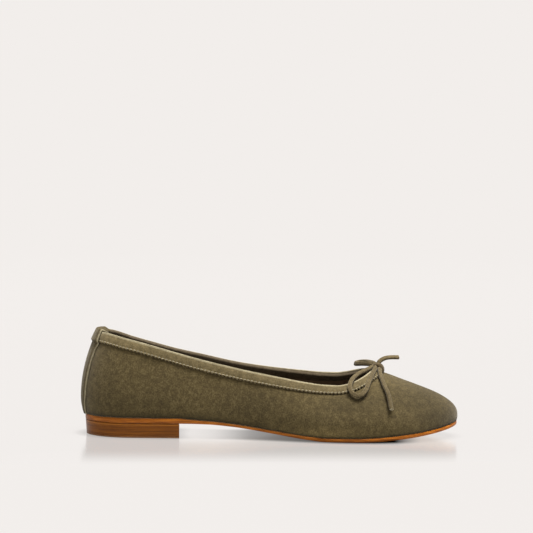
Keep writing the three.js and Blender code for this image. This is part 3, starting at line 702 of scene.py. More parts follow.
def cord_profile(width, thickness, seam):
    """Section of a folded suede strip: flat and round-edged, with the seam where its edges meet."""
    angle = np.linspace(0, 2 * math.pi, CORD_CORNERS, endpoint=False)
    c, s = np.cos(angle), np.sin(angle)
    across = np.sign(c) * np.abs(c) ** CORD_ROUNDING * width / 2
    out = np.sign(s) * np.abs(s) ** CORD_ROUNDING * thickness / 2
    groove = seam * np.exp(-((across - SEAM_AT * width) / (SEAM_WIDTH * width)) ** 2)
    return across, out - np.sign(out) * groove


def turned_facing(path, keys):
    """The way that the flat side looks along a path, from (share of the length, direction) keys."""
    shares = np.linspace(0, 1, len(path))
    at = [share for share, _ in keys]
    ways = np.array([way for _, way in keys], float)
    return unit(np.stack([np.interp(shares, at, ways[:, k]) for k in range(3)], -1))


def capped(rings):
    """Closes a tube with flat ends, a little rounded at the rim."""
    def end(ring, before):
        middle = ring.mean(0)
        beyond = (middle - before.mean(0)) * CUT_REACH
        inner = middle + (ring - middle) * CUT_FLAT + beyond
        return [inner, np.repeat(middle[None] + beyond, len(ring), 0)]

    first, last = end(rings[0], rings[1]), end(rings[-1], rings[-2])
    return np.concatenate([np.array(first[::-1]), rings, np.array(last)])


# The lower tail is a little darker and the upper one lighter. x and z are in millimetres on the last.
CORD_TONE_PATCHES = [
    {"side": 0, "at": (80, 30), "size": (9, 12), "tone": -0.24},
    {"side": 0, "at": (84, 53), "size": (9, 5), "tone": 0.3},
    {"side": 0, "at": (60, 30), "size": (9, 7), "tone": -0.08},
]


def bow_half(name, loop, middle, tail, keys):
    """A loop and its tail as one cord that passes through the knot. keys turn its flat side."""
    path = curve_through(np.array([*loop, *middle, *tail]) + KNOT_AT, CORD_STEPS)
    profile = cord_profile(CORD_WIDTH, CORD_THICKNESS, CORD_SEAM)
    rings = capped(sweep(path, turned_facing(path, keys), profile))
    finish = np.zeros(len(rings) - 1, int)
    finish[-2:] = 1  # the tail's cut end
    piece = build(name, [(rings * MM, False, True, finish[:, None])], [cord_suede, cut_edge])
    give_tone(piece, lambda x, z, side: tone_of(CORD_TONE_PATCHES, x, z, side))
    length = np.linalg.norm(np.diff(path, axis=0), axis=1).sum() * MM
    return piece, path * MM, float(length)


# The lower tail's cut end droops a little further than the CAD solid's
outer_half, outer_path, outer_length = bow_half(
    "bow_outer_half",
    loop=[(0.3, -0.6, -0.2), *LOOP_OUTER],
    middle=[(-0.2, -2.2, -0.2), (0.9, -2.2, -0.4)],
    tail=[*TAIL_LOWER[:-1], (7.9, -38.4, -25.2)],
    keys=[(0.0, (0, -0.5, 1)), (0.3, (-0.3, -1, 0.4)), (0.5, (0.2, -1, 0.2)), (1.0, (0.7, -1, 0.3))],
)
inner_half, inner_path, inner_length = bow_half(
    "bow_inner_half",
    loop=[(0.2, 0.6, 0.3), *LOOP_INNER],
    middle=[(0.0, 1.8, 0.5), (0.9, 0.8, 1.6)],
    tail=TAIL_UPPER,
    keys=[
        (0.0, (-0.3, -0.6, 0.8)), (0.1, (-0.7, -0.7, 0.15)), (0.3, (-1, -0.3, 0.1)), (0.38, (-0.5, 0.9, 0.1)),
        (0.46, (0.7, 0.6, 0.2)), (0.66, (0.7, 0.5, 0.4)), (0.76, (0, -0.6, 1)), (1.0, (0, -0.8, 0.9)),
    ],
)

KNOT_DROP = (0.1, -3.2, -2.9)  # from the middle of the CAD solid to that of the wrap
WRAP_AXIS = (-0.45, -1, -0.25)
WRAP_FROM = (0.5, 0, 1)  # the way from the axis in which the wrap's first radius lies
WRAP_RADII = (3.3, 3.0)
WRAP_WIDTH = 4.2
WRAP_THICKNESS = 3.0
WRAP_SEAM = 0.18
WRAP_STEPS = 72
CORE_RADII = (2.7, 2.6, 2.4)
CORE_COLUMNS, CORE_ROWS = 32, 17


def wrap(centre):
    """One turn of cord round the crossing: a closed ring about an axis."""
    axis = unit(np.array(WRAP_AXIS, float))
    first = unit(np.array(WRAP_FROM, float) - np.dot(WRAP_FROM, axis) * axis)
    second = np.cross(axis, first)
    angle = np.linspace(0, 2 * math.pi, WRAP_STEPS, endpoint=False)[:, None]
    path = centre + first * WRAP_RADII[0] * np.cos(angle) + second * WRAP_RADII[1] * np.sin(angle)
    tangent = unit(np.roll(path, -1, 0) - np.roll(path, 1, 0))
    profile = cord_profile(WRAP_WIDTH, WRAP_THICKNESS, WRAP_SEAM)
    return rings_along(path, tangent, unit(path - centre), profile)


def core(centre):
    """The strands that cross inside the knot, pressed together into one rounded core."""
    turns = np.linspace(0, 2 * math.pi, CORE_COLUMNS, endpoint=False)
    turn, rise = np.meshgrid(turns, np.linspace(0, math.pi, CORE_ROWS))
    ball = np.stack([np.cos(turn) * np.sin(rise), np.cos(rise), np.sin(turn) * np.sin(rise)], -1)
    return ball * CORE_RADII + centre


knot_centre = KNOT_AT + np.array(KNOT_DROP)
bow_knot = build("bow_knot_wrap", [
    (wrap(knot_centre) * MM, True, True, 0), (core(knot_centre) * MM, False, True, 0),
], [knot_suede])

for piece, nodes in [
    (outer_half, ["bow_loop_outer", "bow_tail_lower"]),
    (inner_half, ["bow_loop_inner", "bow_tail_upper"]),
    (bow_knot, ["bow_knot"]),
]:
    dress(piece, "binding_suede", *nodes)

# ---- The upper

# Soft folds in the suede, each from one place to another on the side of the shoe. x and z are in millimetres
# on the last, width is across the fold, and depth is how far it sinks, or stands out where it is negative.
FOLDS = [
    {"side": -1, "from": (-78, 46), "to": (-84, 22), "width": 9, "depth": 0.45},
    {"side": -1, "from": (-66, 48), "to": (-70, 24), "width": 8, "depth": -0.3},
    {"side": -1, "from": (-36, 42), "to": (-42, 20), "width": 11, "depth": 0.4},
    {"side": -1, "from": (-14, 34), "to": (-20, 14), "width": 10, "depth": 0.3},
    {"side": -1, "from": (40, 22), "to": (52, 8), "width": 12, "depth": 0.35},
    {"side": -1, "from": (62, 26), "to": (78, 14), "width": 10, "depth": -0.3},
    {"side": 1, "from": (-70, 44), "to": (-80, 22), "width": 10, "depth": 0.4},
    {"side": 1, "from": (-30, 34), "to": (-24, 18), "width": 11, "depth": 0.4},
    {"side": 1, "from": (46, 24), "to": (60, 10), "width": 12, "depth": 0.35},
]

# Broad places where the nap lies another way and looks darker or lighter, as the photo shows them, and a few
# like them on the side that it doesn't show
# The darker places under the bow's loop and tail and round the toe are painted shade.
NAP_AND_PAINTED_SHADE = [
    {"side": -1, "at": (-90, 21), "size": (24, 9), "tone": -0.16},
    {"side": -1, "at": (-46, 30), "size": (15, 9), "tone": 0.12},
    {"side": -1, "at": (-10, 22), "size": (17, 14), "tone": -0.18},
    {"side": -1, "at": (37, 6.0), "size": (24, 3.8), "tone": 0.8},
    {"side": -1, "at": (50, 25), "size": (22, 8), "tone": -0.3},
    {"side": 0, "at": (90, 27), "size": (28, 10), "tone": -0.3},
    {"side": -1, "at": (84, 8), "size": (26, 4.5), "tone": 0.2},
    {"side": -1, "at": (107, 16), "size": (11, 7), "tone": -0.3},
    {"side": 0, "at": (106, 29), "size": (13, 7), "tone": -0.14},
    {"side": 0, "at": (122, 17), "size": (9, 9), "tone": -0.22},
    {"side": 1, "at": (-76, 20), "size": (24, 9), "tone": -0.14},
    {"side": 1, "at": (-36, 26), "size": (16, 9), "tone": 0.1},
    {"side": 1, "at": (10, 18), "size": (18, 12), "tone": -0.12},
    {"side": 1, "at": (76, 12), "size": (20, 8), "tone": -0.14},
]
# Painted shade low on the upper: how much darker the suede is made in a wide band above the sole at the heel
# and waist, by share of the length, and in a thin line all round at the joint with the sole
LOW_SHADE = {
    "at": [0.0, 0.3, 0.42, 0.54, 0.66, 0.8, 0.92, 1.0],
    "band": [-0.42, -0.42, -0.38, -0.1, 0.0, -0.1, -0.25, -0.25],
}
LOW_SHADE_BAND = (0.8, 4.2)  # heights above the sole between which the band fades, in millimetres
JOINT_SHADE_LINE = (0.3, 1.4)  # and the line
JOINT_SHADE_TONE = 0.4
low_shade_band = through(LOW_SHADE, "band")


def painted_low_shade(x, z):
    """Painted shade beside the sole: how much of the suede's colour is left there."""
    above = z - sole_top(x) - GAP
    band = 1 + low_shade_band(share_at(x)) * (1 - smooth(above, *LOW_SHADE_BAND))
    return band * (1 - JOINT_SHADE_TONE * (1 - smooth(above, *JOINT_SHADE_LINE)))


BELLY_ROWS = 14
WALL_ROWS = 46
BAND_ROWS = 8
QUARTER_STEPS = 150
VAMP_STEPS = 90
FOLDS_BEGIN = (-1.0, -0.45)  # lifts between which the folds grow above the sole
FOLDS_END = (0.75, 0.97)  # and between which they fade towards the top

binding_front = float(below_rim(np.array(1.0), np.array(TAPE_WIDTH))[0])
rim_positions = evenly(rim_line, -1, 1, 2 * QUARTER_STEPS)
band_depths = np.linspace(TAPE_WIDTH, 0, BAND_ROWS)
band_turn, band_lift = below_rim(rim_positions[:, None], band_depths[None, :])

wall_rows = np.arange(BELLY_ROWS + WALL_ROWS) / (BELLY_ROWS + WALL_ROWS)
belly_share = BELLY_ROWS / (BELLY_ROWS + WALL_ROWS)


def wall_columns(foot, top_turn, top_lift):
    """Turn and lift up columns of the wall, from the sole to under its top rows, and those rows."""
    turn = mix(foot[:, None], top_turn[:, :1], wall_rows[None] ** 2)
    lift = np.where(
        wall_rows[None] < belly_share,
        wall_rows[None] / belly_share - 1,
        top_lift[:, :1] * (wall_rows[None] - belly_share) / (1 - belly_share),
    )
    return np.concatenate([turn, top_turn], 1), np.concatenate([lift, top_lift], 1)


def fold_depth(points, turn):
    """How far the folds sink the suede at points on the form."""
    sunk = np.zeros(points.shape[:-1])
    spot = points[..., [0, 2]]
    for fold in FOLDS:
        start, end = np.array(fold["from"], float), np.array(fold["to"], float)
        along = end - start
        t = np.clip(((spot - start) @ along) / (along @ along), 0, 1)
        away = np.linalg.norm(spot - start - t[..., None] * along, axis=-1)
        sunk += fold["depth"] * np.exp(-((away / (fold["width"] / 2)) ** 2)) * (np.sign(turn) == fold["side"])
    return sunk


def wall_surfaces(turn, lift):
    """The outside and the inside of the wall, both ending level at the sole."""
    fade = smooth(lift, *FOLDS_BEGIN) * (1 - smooth(lift, *FOLDS_END))
    points = form(turn, lift)
    out = slopes(turn, lift)[2]
    sunk = fold_depth(points, turn) * fade
    outside, inside = points + out * -sunk[..., None], points + out * (-WALL - sunk)[..., None]
    inside[:, 0, 2] = outside[:, 0, 2]
    return outside, inside


def across_wall(surfaces, row):
    """The strip of the wall's thickness along one row of its two surfaces."""
    return np.stack([surface[:, row] for surface in surfaces], 1)


quarter_foot = evenly(widest, -binding_front, binding_front, 2 * QUARTER_STEPS)
quarter = wall_surfaces(*wall_columns(quarter_foot, band_turn, band_lift))
round_toe = evenly(widest, binding_front, 360 - binding_front, 2 * VAMP_STEPS)
vamp_foot = np.where(round_toe > 180, round_toe - 360, round_toe)
vamp = wall_surfaces(*wall_columns(vamp_foot, vamp_foot[:, None], np.ones((len(vamp_foot), 1))))
upper = build("upper_suede", [
    (to_row(grid), False, False, finish) for grid, finish in [
        (quarter[0], 0), (vamp[0], 0), (quarter[1], 1), (vamp[1], 1),
        (across_wall(quarter, -1), 1), (across_wall(quarter, 0), 1), (across_wall(vamp, 0), 1),
    ]
], [olive_suede, lining_leather], merge=0.02 * MM)
# The upper's tone: the nap places, some of them painted shade, times the painted shade low beside the sole
give_tone(upper, lambda x, z, side: tone_of(NAP_AND_PAINTED_SHADE, x, z, side) * painted_low_shade(x, z))
dress(upper, "suede", "upper")

# ---- The binding: a folded suede tape astride the top edge, sewn near its lower edge

TAPE_STEPS = 1400
STITCH_PITCH = 2.4
STITCH_DEPTH = 5.2  # of the seam below the cut edge
# How far the tape's faces lie off the form, outside the wall and inside it
OUTSIDE = GAP + TAPE
INSIDE = -WALL - OUTSIDE
# Points of the tape's section: depth below the cut edge, or rise above it, and distance off the form
OUTER_FACE = [
    (6.1, 0.14), (6.3, 0.25), (6.34, 0.45), (6.24, 0.66), (6.0, 0.78), (5.7, 0.82), (5.45, 0.78), (5.2, 0.74),
    (4.95, 0.8), (4.6, 0.92), (4.0, 1.05), (3.2, 1.16), (2.4, 1.24), (1.6, 1.28), (0.9, 1.27), (0.3, 1.22),
]
CUT_TOP = [(0.1, 1.24), (0.45, 1.28), (0.75, 1.18), (0.95, 0.95), (1.05, 0.6), (1.02, 0.25)]
INNER_TOP = [(0.8, -0.1), (0.85, -0.6), (1.0, -1.2), (1.05, -1.8), (0.85, -2.35), (0.4, INSIDE + 0.05)]
INNER_FACE = [
    (0.0, INSIDE), (1.0, INSIDE - 0.05), (2.2, INSIDE - 0.05), (3.4, INSIDE), (4.3, INSIDE + 0.02),
    (4.85, INSIDE + 0.2), (4.9, -WALL - GAP - 0.1),
]
UNDERSIDE = [(3.0, -WALL - GAP), (0.0, -WALL - GAP)]
UNDER_TOP = [(0.3, -WALL - GAP), (0.3, GAP)]
UNDER_FACE = [(0.0, GAP), (3.0, GAP), (5.0, 0.12)]

positions = evenly(rim_line, -1, 1, TAPE_STEPS)[:-1]


def seam_line(position):
    return form(*below_rim(position, STITCH_DEPTH))


# The seam's stitches, evenly spaced from the throat round the back to the throat again
SEAM_END = 0.999
seam_samples, seam_travelled = travelled(seam_line, -SEAM_END, SEAM_END)
stitch_count = int(seam_travelled[-1] / STITCH_PITCH)
stitch_middles = (np.arange(stitch_count) + 0.5) / stitch_count * seam_travelled[-1]
stitch_positions = np.interp(stitch_middles, seam_travelled, seam_samples)
seam_phase = np.interp(positions, seam_samples, seam_travelled) / seam_travelled[-1] * stitch_count
# Each stitch holds the tape's edge down on the suede, and between stitches the edge lifts
EDGE_LIFT = 0.55
EDGE_LIFT_POWER = 1.5  # how sharply it lifts
LIFTED = (STITCH_DEPTH - 0.6, TAPE_WIDTH - 0.3)  # depths between which the lift grows from nothing to full
pucker = (0.5 + 0.5 * np.cos(2 * math.pi * seam_phase)) ** EDGE_LIFT_POWER * EDGE_LIFT


def face_points(stations):
    """Points of the tape at (depth, distance) stations on its faces."""
    depth, distance = np.array(stations, float).T
    turn, lift = below_rim(positions[:, None], depth[None, :])
    near_seam = smooth(depth, *LIFTED) * (distance > 0) * (distance != GAP)
    return off_form(turn, lift, distance[None] + pucker[:, None] * near_seam[None])


def top_points(stations):
    """Points of the tape at (rise, distance) stations over the cut edge."""
    turn, lift = rim_at(positions)
    lower_turn, lower_lift = below_rim(positions, TAPE_TURN_IN / 2)
    made = []
    for rise, distance in stations:
        edge = off_form(turn, lift, np.full_like(turn, distance))
        below = off_form(lower_turn, lower_lift, np.full_like(turn, distance))
        made.append(edge + unit(edge - below) * rise)
    return np.stack(made, 1)


tape = np.concatenate([
    face_points(OUTER_FACE), top_points(CUT_TOP), top_points(INNER_TOP), face_points(INNER_FACE),
    face_points(UNDERSIDE), top_points(UNDER_TOP), face_points(UNDER_FACE),
], 1)
column_finish = np.zeros(tape.shape[1], int)
cut_from = len(OUTER_FACE) - 1
inner_from = cut_from + len(CUT_TOP)
column_finish[cut_from:inner_from] = 1
column_finish[inner_from : inner_from + len(INNER_TOP) + len(INNER_FACE)] = 2
# The faces of the tape's lower edge, which gape halfway between two stitches, where the cosine is near 1:
# there the shadow is painted
SHADOW_PAINTED_COLUMNS = (1, 5)
SHADOW_PAINTED_ABOVE = 0.3
tape_finish = np.repeat(column_finish[None], len(positions), 0)
shadow_painted_faces = np.cos(2 * math.pi * seam_phase) > SHADOW_PAINTED_ABOVE
tape_finish[shadow_painted_faces, SHADOW_PAINTED_COLUMNS[0] : SHADOW_PAINTED_COLUMNS[1]] = 3
binding = build(
    "topline_binding_tape", [(to_row(tape), True, True, tape_finish)],
    [binding_suede, cut_edge, shaded_inner_suede, gap_shadow_suede],
)
# The tape is made lighter towards the heel and darker towards the bow
TAPE_TONE_PATCHES = [
    {"side": 0, "at": (-104, 64), "size": (34, 20), "tone": 0.26},
    {"side": 0, "at": (-46, 50), "size": (30, 16), "tone": 0.12},
    {"side": 0, "at": (40, 36), "size": (34, 16), "tone": -0.16},
]
give_tone(binding, lambda x, z, side: tone_of(TAPE_TONE_PATCHES, x, z, side))
dress(binding, "binding_suede", "topline_binding")

STITCH_LENGTH = 1.75
STITCH_WIDTH = 0.56
STITCH_LEAN = 0.16  # how far each stitch lies across the seam, as a share of its length
STITCH_OFF_FORM = 0.8
STITCH_TAPER = 0.85
STITCH_ARCH, STITCH_SINK = 0.5, 0.2  # shares of its width by which it stands up, and its ends are sunk
STITCH_CORNERS, STITCH_STEPS = 8, 7
UNDER_STRIP = 0.05  # the share of the seam each side of the back that the strip covers


def stitches(name, shown):
    """Short stitches of thread at some positions of the seam, each sunk at its two ends."""
    turn, lift = below_rim(shown, STITCH_DEPTH)
    middles = off_form(turn, lift, np.full_like(turn, STITCH_OFF_FORM))
    out = slopes(turn, lift)[2]
    along = unit(np.gradient(middles, axis=0))
    along = unit(along + np.cross(out, along) * STITCH_LEAN)
    side = np.cross(out, along)
    angle = np.linspace(0, 2 * math.pi, STITCH_CORNERS, endpoint=False)
    stations = np.linspace(-1, 1, STITCH_STEPS)
    thick = np.sqrt(np.clip(1 - stations**2 * STITCH_TAPER, 0, 1)) * STITCH_WIDTH / 2
    arch = (1 - stations**2) * STITCH_WIDTH * STITCH_ARCH - STITCH_WIDTH * STITCH_SINK
    parts = []
    for middle, a, o, s in zip(middles, along, out, side):
        spine = middle + a * (stations * STITCH_LENGTH / 2)[:, None] + o * arch[:, None]
        ring = s * np.cos(angle)[:, None] + o * np.sin(angle)[:, None]
        parts.append((to_row(spine[:, None] + ring[None] * thick[:, None, None]), False, True, 0))
    return build(name, parts, [thread], merge=1e-7)


binding_stitches = stitches("topline_stitches", stitch_positions[np.abs(stitch_positions) > UNDER_STRIP])
dress(binding_stitches, "binding_suede")

# ---- The strip over the back seam

half_turn_per_mm = 1 / (np.linalg.norm(widest(1.0) - widest(-1.0)) / 2)
back_lift = float(rim_at(np.array(0.0))[1])
OVER_BINDING = OUTSIDE + 2 * GAP
HALF_COLUMNS = [0.0, 0.15, 0.3, 0.45, 0.58, 0.68, 0.75, 0.8, 0.83, 0.855, 0.88, 0.91, 0.94, 0.965, 0.985, 1.0]
STRIP_COLUMNS = np.array([-share for share in HALF_COLUMNS[:0:-1]] + HALF_COLUMNS)
# How far each column is sunk below the strip's face: at the seam along each edge, and round at the cut
edge_drop = np.interp(
    np.abs(STRIP_COLUMNS), [0.0, 0.8, 0.83, 0.855, 0.88, 0.91, 0.965, 0.985, 1.0],
    [0, 0, 0.18, 0.38, 0.18, 0, 0, 0.08, 0.3],
)
STRIP_SPLIT = 0.72  # share of the way up the wall above which the strip is measured down from the cut edge
# Lifts of its rows under the widest line, and shares of the way up the wall above it
STRIP_STATIONS = np.concatenate([np.linspace(-0.97, 0, 16), np.linspace(0.05, STRIP_SPLIT, 20)])
# Depths below the cut edge of its rows outside and inside
STRIP_DOWN_OUTSIDE = (8.6, 8.0, 7.6, 7.3, 7.0, 6.8, 6.6, 6.4, 6.1, 5.6, 4.8, 3.8, 2.6, 1.4, 0.5)
STRIP_DOWN_INSIDE = (0.6, 1.6, 2.8, 4.0, 5.4, 7.0, STRIP_TURN_IN)
ONTO_BINDING = (6.0, 7.4)  # depths between which it climbs from the upper onto the binding
# (distance off the form, rise over the cut edge) of its rows over the binding
STRIP_OVER = [
    (OVER_BINDING, 0.6), (OVER_BINDING - 0.25, 1.1), (0.6, 1.45), (-0.8, 1.5), (-WALL - 0.6, 1.45),
    (-WALL - OVER_BINDING + 0.25, 1.1), (-WALL - OVER_BINDING, 0.6),
]
STRIP_TONE = 0.88


def strip_rows():
    """Rows of inside and outside points, from the foot of the strip, over the binding and down inside."""
    inner, outer = [], []
    for station in STRIP_STATIONS:
        lift = station if station < 0 else station * back_lift
        width = mix(STRIP_FOOT_WIDTH, STRIP_TOP_WIDTH, ((station + 1) / 2) ** STRIP_FLARE)
        spots = STRIP_COLUMNS * width / 2 * half_turn_per_mm, np.full_like(STRIP_COLUMNS, lift)
        inner.append(off_form(*spots, np.full_like(STRIP_COLUMNS, GAP)))
        outer.append(off_form(*spots, GAP + STRIP - edge_drop))
    turn = np.abs(STRIP_COLUMNS) * STRIP_TOP_WIDTH / 2 * half_turn_per_mm
    position = np.sign(STRIP_COLUMNS) * (1 - np.sqrt(1 - turn / THROAT_TURN))

    def over(depth, distance, rise):
        spots = below_rim(position, depth)
        lower = below_rim(position, depth + STRIP)
        side = math.copysign(1, distance + WALL / 2)
        flat = np.full_like(position, distance)
        edge = off_form(*spots, flat)
        up = unit(edge - off_form(*lower, flat))
        inner.append(edge + up * rise)
        thick = STRIP - edge_drop
        outer.append(off_form(*spots, distance + side * thick) + up * (rise + thick * (rise > 0))[:, None])

    for depth in STRIP_DOWN_OUTSIDE:
        over(depth, mix(OVER_BINDING, GAP, float(smooth(depth, *ONTO_BINDING))), 0.0)
    for distance, rise in STRIP_OVER:
        over(0.0, distance, rise)
    for depth in STRIP_DOWN_INSIDE:
        over(depth, -WALL - OVER_BINDING, 0.0)
    return np.array(inner), np.array(outer)


strip_inner, strip_outer = strip_rows()
strip_columns = len(STRIP_COLUMNS)
strip_finish = np.zeros(2 * strip_columns, int)
strip_finish[[0, 1, strip_columns - 3, strip_columns - 2, strip_columns - 1, -1]] = 1  # its cut edges
back_strip = build("back_strip_suede", [
    (to_row(np.concatenate([strip_outer, strip_inner[:, ::-1]], 1)), False, True, strip_finish[None, :]),
    (to_row(np.stack([strip_outer[0], strip_inner[0]], 0)), False, False, 0),
    (to_row(np.stack([strip_outer[-1], strip_inner[-1]], 0)), False, False, 0),
], [olive_suede, cut_edge], merge=0.01 * MM)
# The strip is a little darker overall, and carries the same painted shade low beside the sole
give_tone(back_strip, lambda x, z, side: STRIP_TONE * painted_low_shade(x, z))
dress(back_strip, "suede", "back_strip")

# ---- The outsole, heel block and insole

OUTLINE_STEPS = 240
PLATE_COLUMNS = 24
outline_turns = evenly(widest, 0, 180, OUTLINE_STEPS)


def plate(name, inset, bottom_at, top_at, edge, materials, finishes):
    """A plate under the foot, from rows across it. edge gives its rim from below as (share of the thickness,
    inset) points, and finishes the numbers of the materials of its faces and of that rim."""
    def side(sign):
        made = []
        for up, extra in edge:
            spot = feather_line(sign * outline_turns, inset + np.full_like(outline_turns, extra))
            height = mix(bottom_at(spot[:, 0]), top_at(spot[:, 0]), up)
            made.append(np.concatenate([spot, height[:, None]], -1))
        return np.stack(made, 1)

    def between(start, end, height_at):
        shares = np.linspace(0, 1, PLATE_COLUMNS + 1)[1:-1]
        points = start[:, None] + (end - start)[:, None] * shares[None, :, None]
        points[..., 2] = height_at(points[..., 0])
        return points

    outer, inner = side(-1), side(1)[:, ::-1]
    over = between(outer[:, -1], inner[:, 0], top_at)
    under = between(inner[:, -1], outer[:, 0], bottom_at)
    grid = np.concatenate([outer, over, inner, under], 1)
    finish = np.full(grid.shape[1], finishes[0])
    for start in (0, len(edge) + PLATE_COLUMNS - 1):
        finish[start : start + len(edge) - 1] = finishes[1]
    return build(name, [(to_row(grid), False, True, finish[None, :])], materials, merge=0.01 * MM)


SOLE_EDGE = [
    (0.0, 0.55), (0.05, 0.28), (0.14, 0.1), (0.3, 0.02), (0.6, 0.0), (0.78, 0.02), (0.86, 0.1), (0.9, 0.2),
    (0.93, 0.2), (1.0, 0.32),
]
outsole = plate("outsole_leather", 0.0, sole_bottom, sole_top, SOLE_EDGE, [sole_grain, waxed_edge], (0, 1))
# Under the forefoot the top corner of the edge is made lighter: a painted highlight
EDGE_HIGHLIGHT = 0.5
EDGE_HIGHLIGHT_FROM = (45, 75)  # where along the sole it begins, in millimetres on the last
EDGE_HIGHLIGHT_UP = (0.4, 0.95)  # and where up the edge, as shares of its thickness


def painted_edge_highlight(x, z):
    rise = (z - sole_bottom(x)) / (sole_top(x) - sole_bottom(x))
    return 1 + EDGE_HIGHLIGHT * smooth(x, *EDGE_HIGHLIGHT_FROM) * smooth(rise, *EDGE_HIGHLIGHT_UP)


give_tone(outsole, lambda x, z, side: painted_edge_highlight(x, z))
dress(outsole, "sole_leather", "outsole")


def insole_bottom(x):
    return sole_top(x) + GAP


def insole_top(x):
    return insole_bottom(x) + INSOLE_THICKNESS


INSOLE_EDGE = [(0.0, 0.15), (0.2, 0.0), (0.8, 0.0), (0.95, 0.08), (1.0, 0.3)]
insole = plate(
    "insole_sock", WALL + 2 * GAP, insole_bottom, insole_top, INSOLE_EDGE, [sock_leather], (0, 0),
)
dress(insole, "sock_leather", "insole")

BREAST_SLANT = 0.009  # how much further back the block ends on the inner side, as a share of the length
TOP_PIECE = 0.9
# (height, how far it is drawn in) of the block's rings: the rubber top piece, its joint and the stack
TOP_PIECE_RINGS = [(0.0, 0.3), (0.1, 0.1), (0.3, 0.0), (TOP_PIECE - 0.1, 0.0), (TOP_PIECE, 0.12)]
STACK_RINGS = [
    (TOP_PIECE + 0.1, 0.0), (2.5, 0.0), (4.5, 0.0), (6.5, 0.0), (HEEL_HEIGHT - 1.0, 0.0), (HEEL_HEIGHT, 0.0),
    (HEEL_HEIGHT + 0.15, 0.15),
]
HEEL_STEPS = 160
BREAST_STEPS = 40


def heel_block():
    outer_corner = float(turn_of_share(HEEL_BREAST_AT))
    inner_corner = float(turn_of_share(HEEL_BREAST_AT - BREAST_SLANT))
    turns = evenly(widest, -outer_corner, inner_corner, HEEL_STEPS)
    shares = np.linspace(0, 1, BREAST_STEPS + 2)[1:-1]

    def ring(height, draw):
        inset = HEEL_INSET + HEEL_TAPER * (1 - height / HEEL_HEIGHT)
        round_part = feather_line(turns, np.full_like(turns, inset + draw))
        start, end = round_part[-1], round_part[0]
        front = start + (end - start) * shares[:, None]
        front[:, 0] -= BREAST_HOLLOW * np.sin(math.pi * shares) + draw
        loop = np.concatenate([round_part, front])
        return np.concatenate([loop, np.full((len(loop), 1), height)], -1)

    def middle(loop):
        return np.repeat(loop.mean(0)[None], len(loop), 0)

    rings = np.array([ring(height, draw) for height, draw in TOP_PIECE_RINGS + STACK_RINGS])
    finish = np.zeros(len(rings) - 1, int)
    finish[: len(TOP_PIECE_RINGS) - 1] = 1
    return build("heel_block_stack", [
        (to_row(rings), False, True, finish[:, None]),
        (to_row(np.stack([middle(rings[0]), rings[0]])), False, True, 1),
        (to_row(np.stack([rings[-1], middle(rings[-1])])), False, True, 0),
    ], [stacked_leather, top_rubber], merge=0.001 * MM)


dress(heel_block(), "stacked_leather", "heel_block")

# ---- The floor and its light

FLOOR_COLOUR = "#f2eeeb"
FLOOR_MIRROR = 0.36  # share of the light that the sheet mirrors beside the shoe
MIRROR_FROM, MIRROR_TO = -145.0, -72.0  # where that share grows from nothing to full, in millimetres
MIRROR_SLANT = -0.1  # how that line slants towards the toe
MIRROR_ROUGHNESS = 0.16
FLOOR_SHADED = 0.06  # share of the rest that the lamps give, and that shadows take away
CONTACT_REACH = 0.010  # how far from a piece that touches it the glow is choked
CONTACT_SHARPNESS = 2.8
FADES_FROM, FADES_TO = 1200.0, 2200.0  # how far out the sheet turns into plain glow, in millimetres
LAMP_ON_FLOOR = 3.5  # how bright the lamps make a white floor


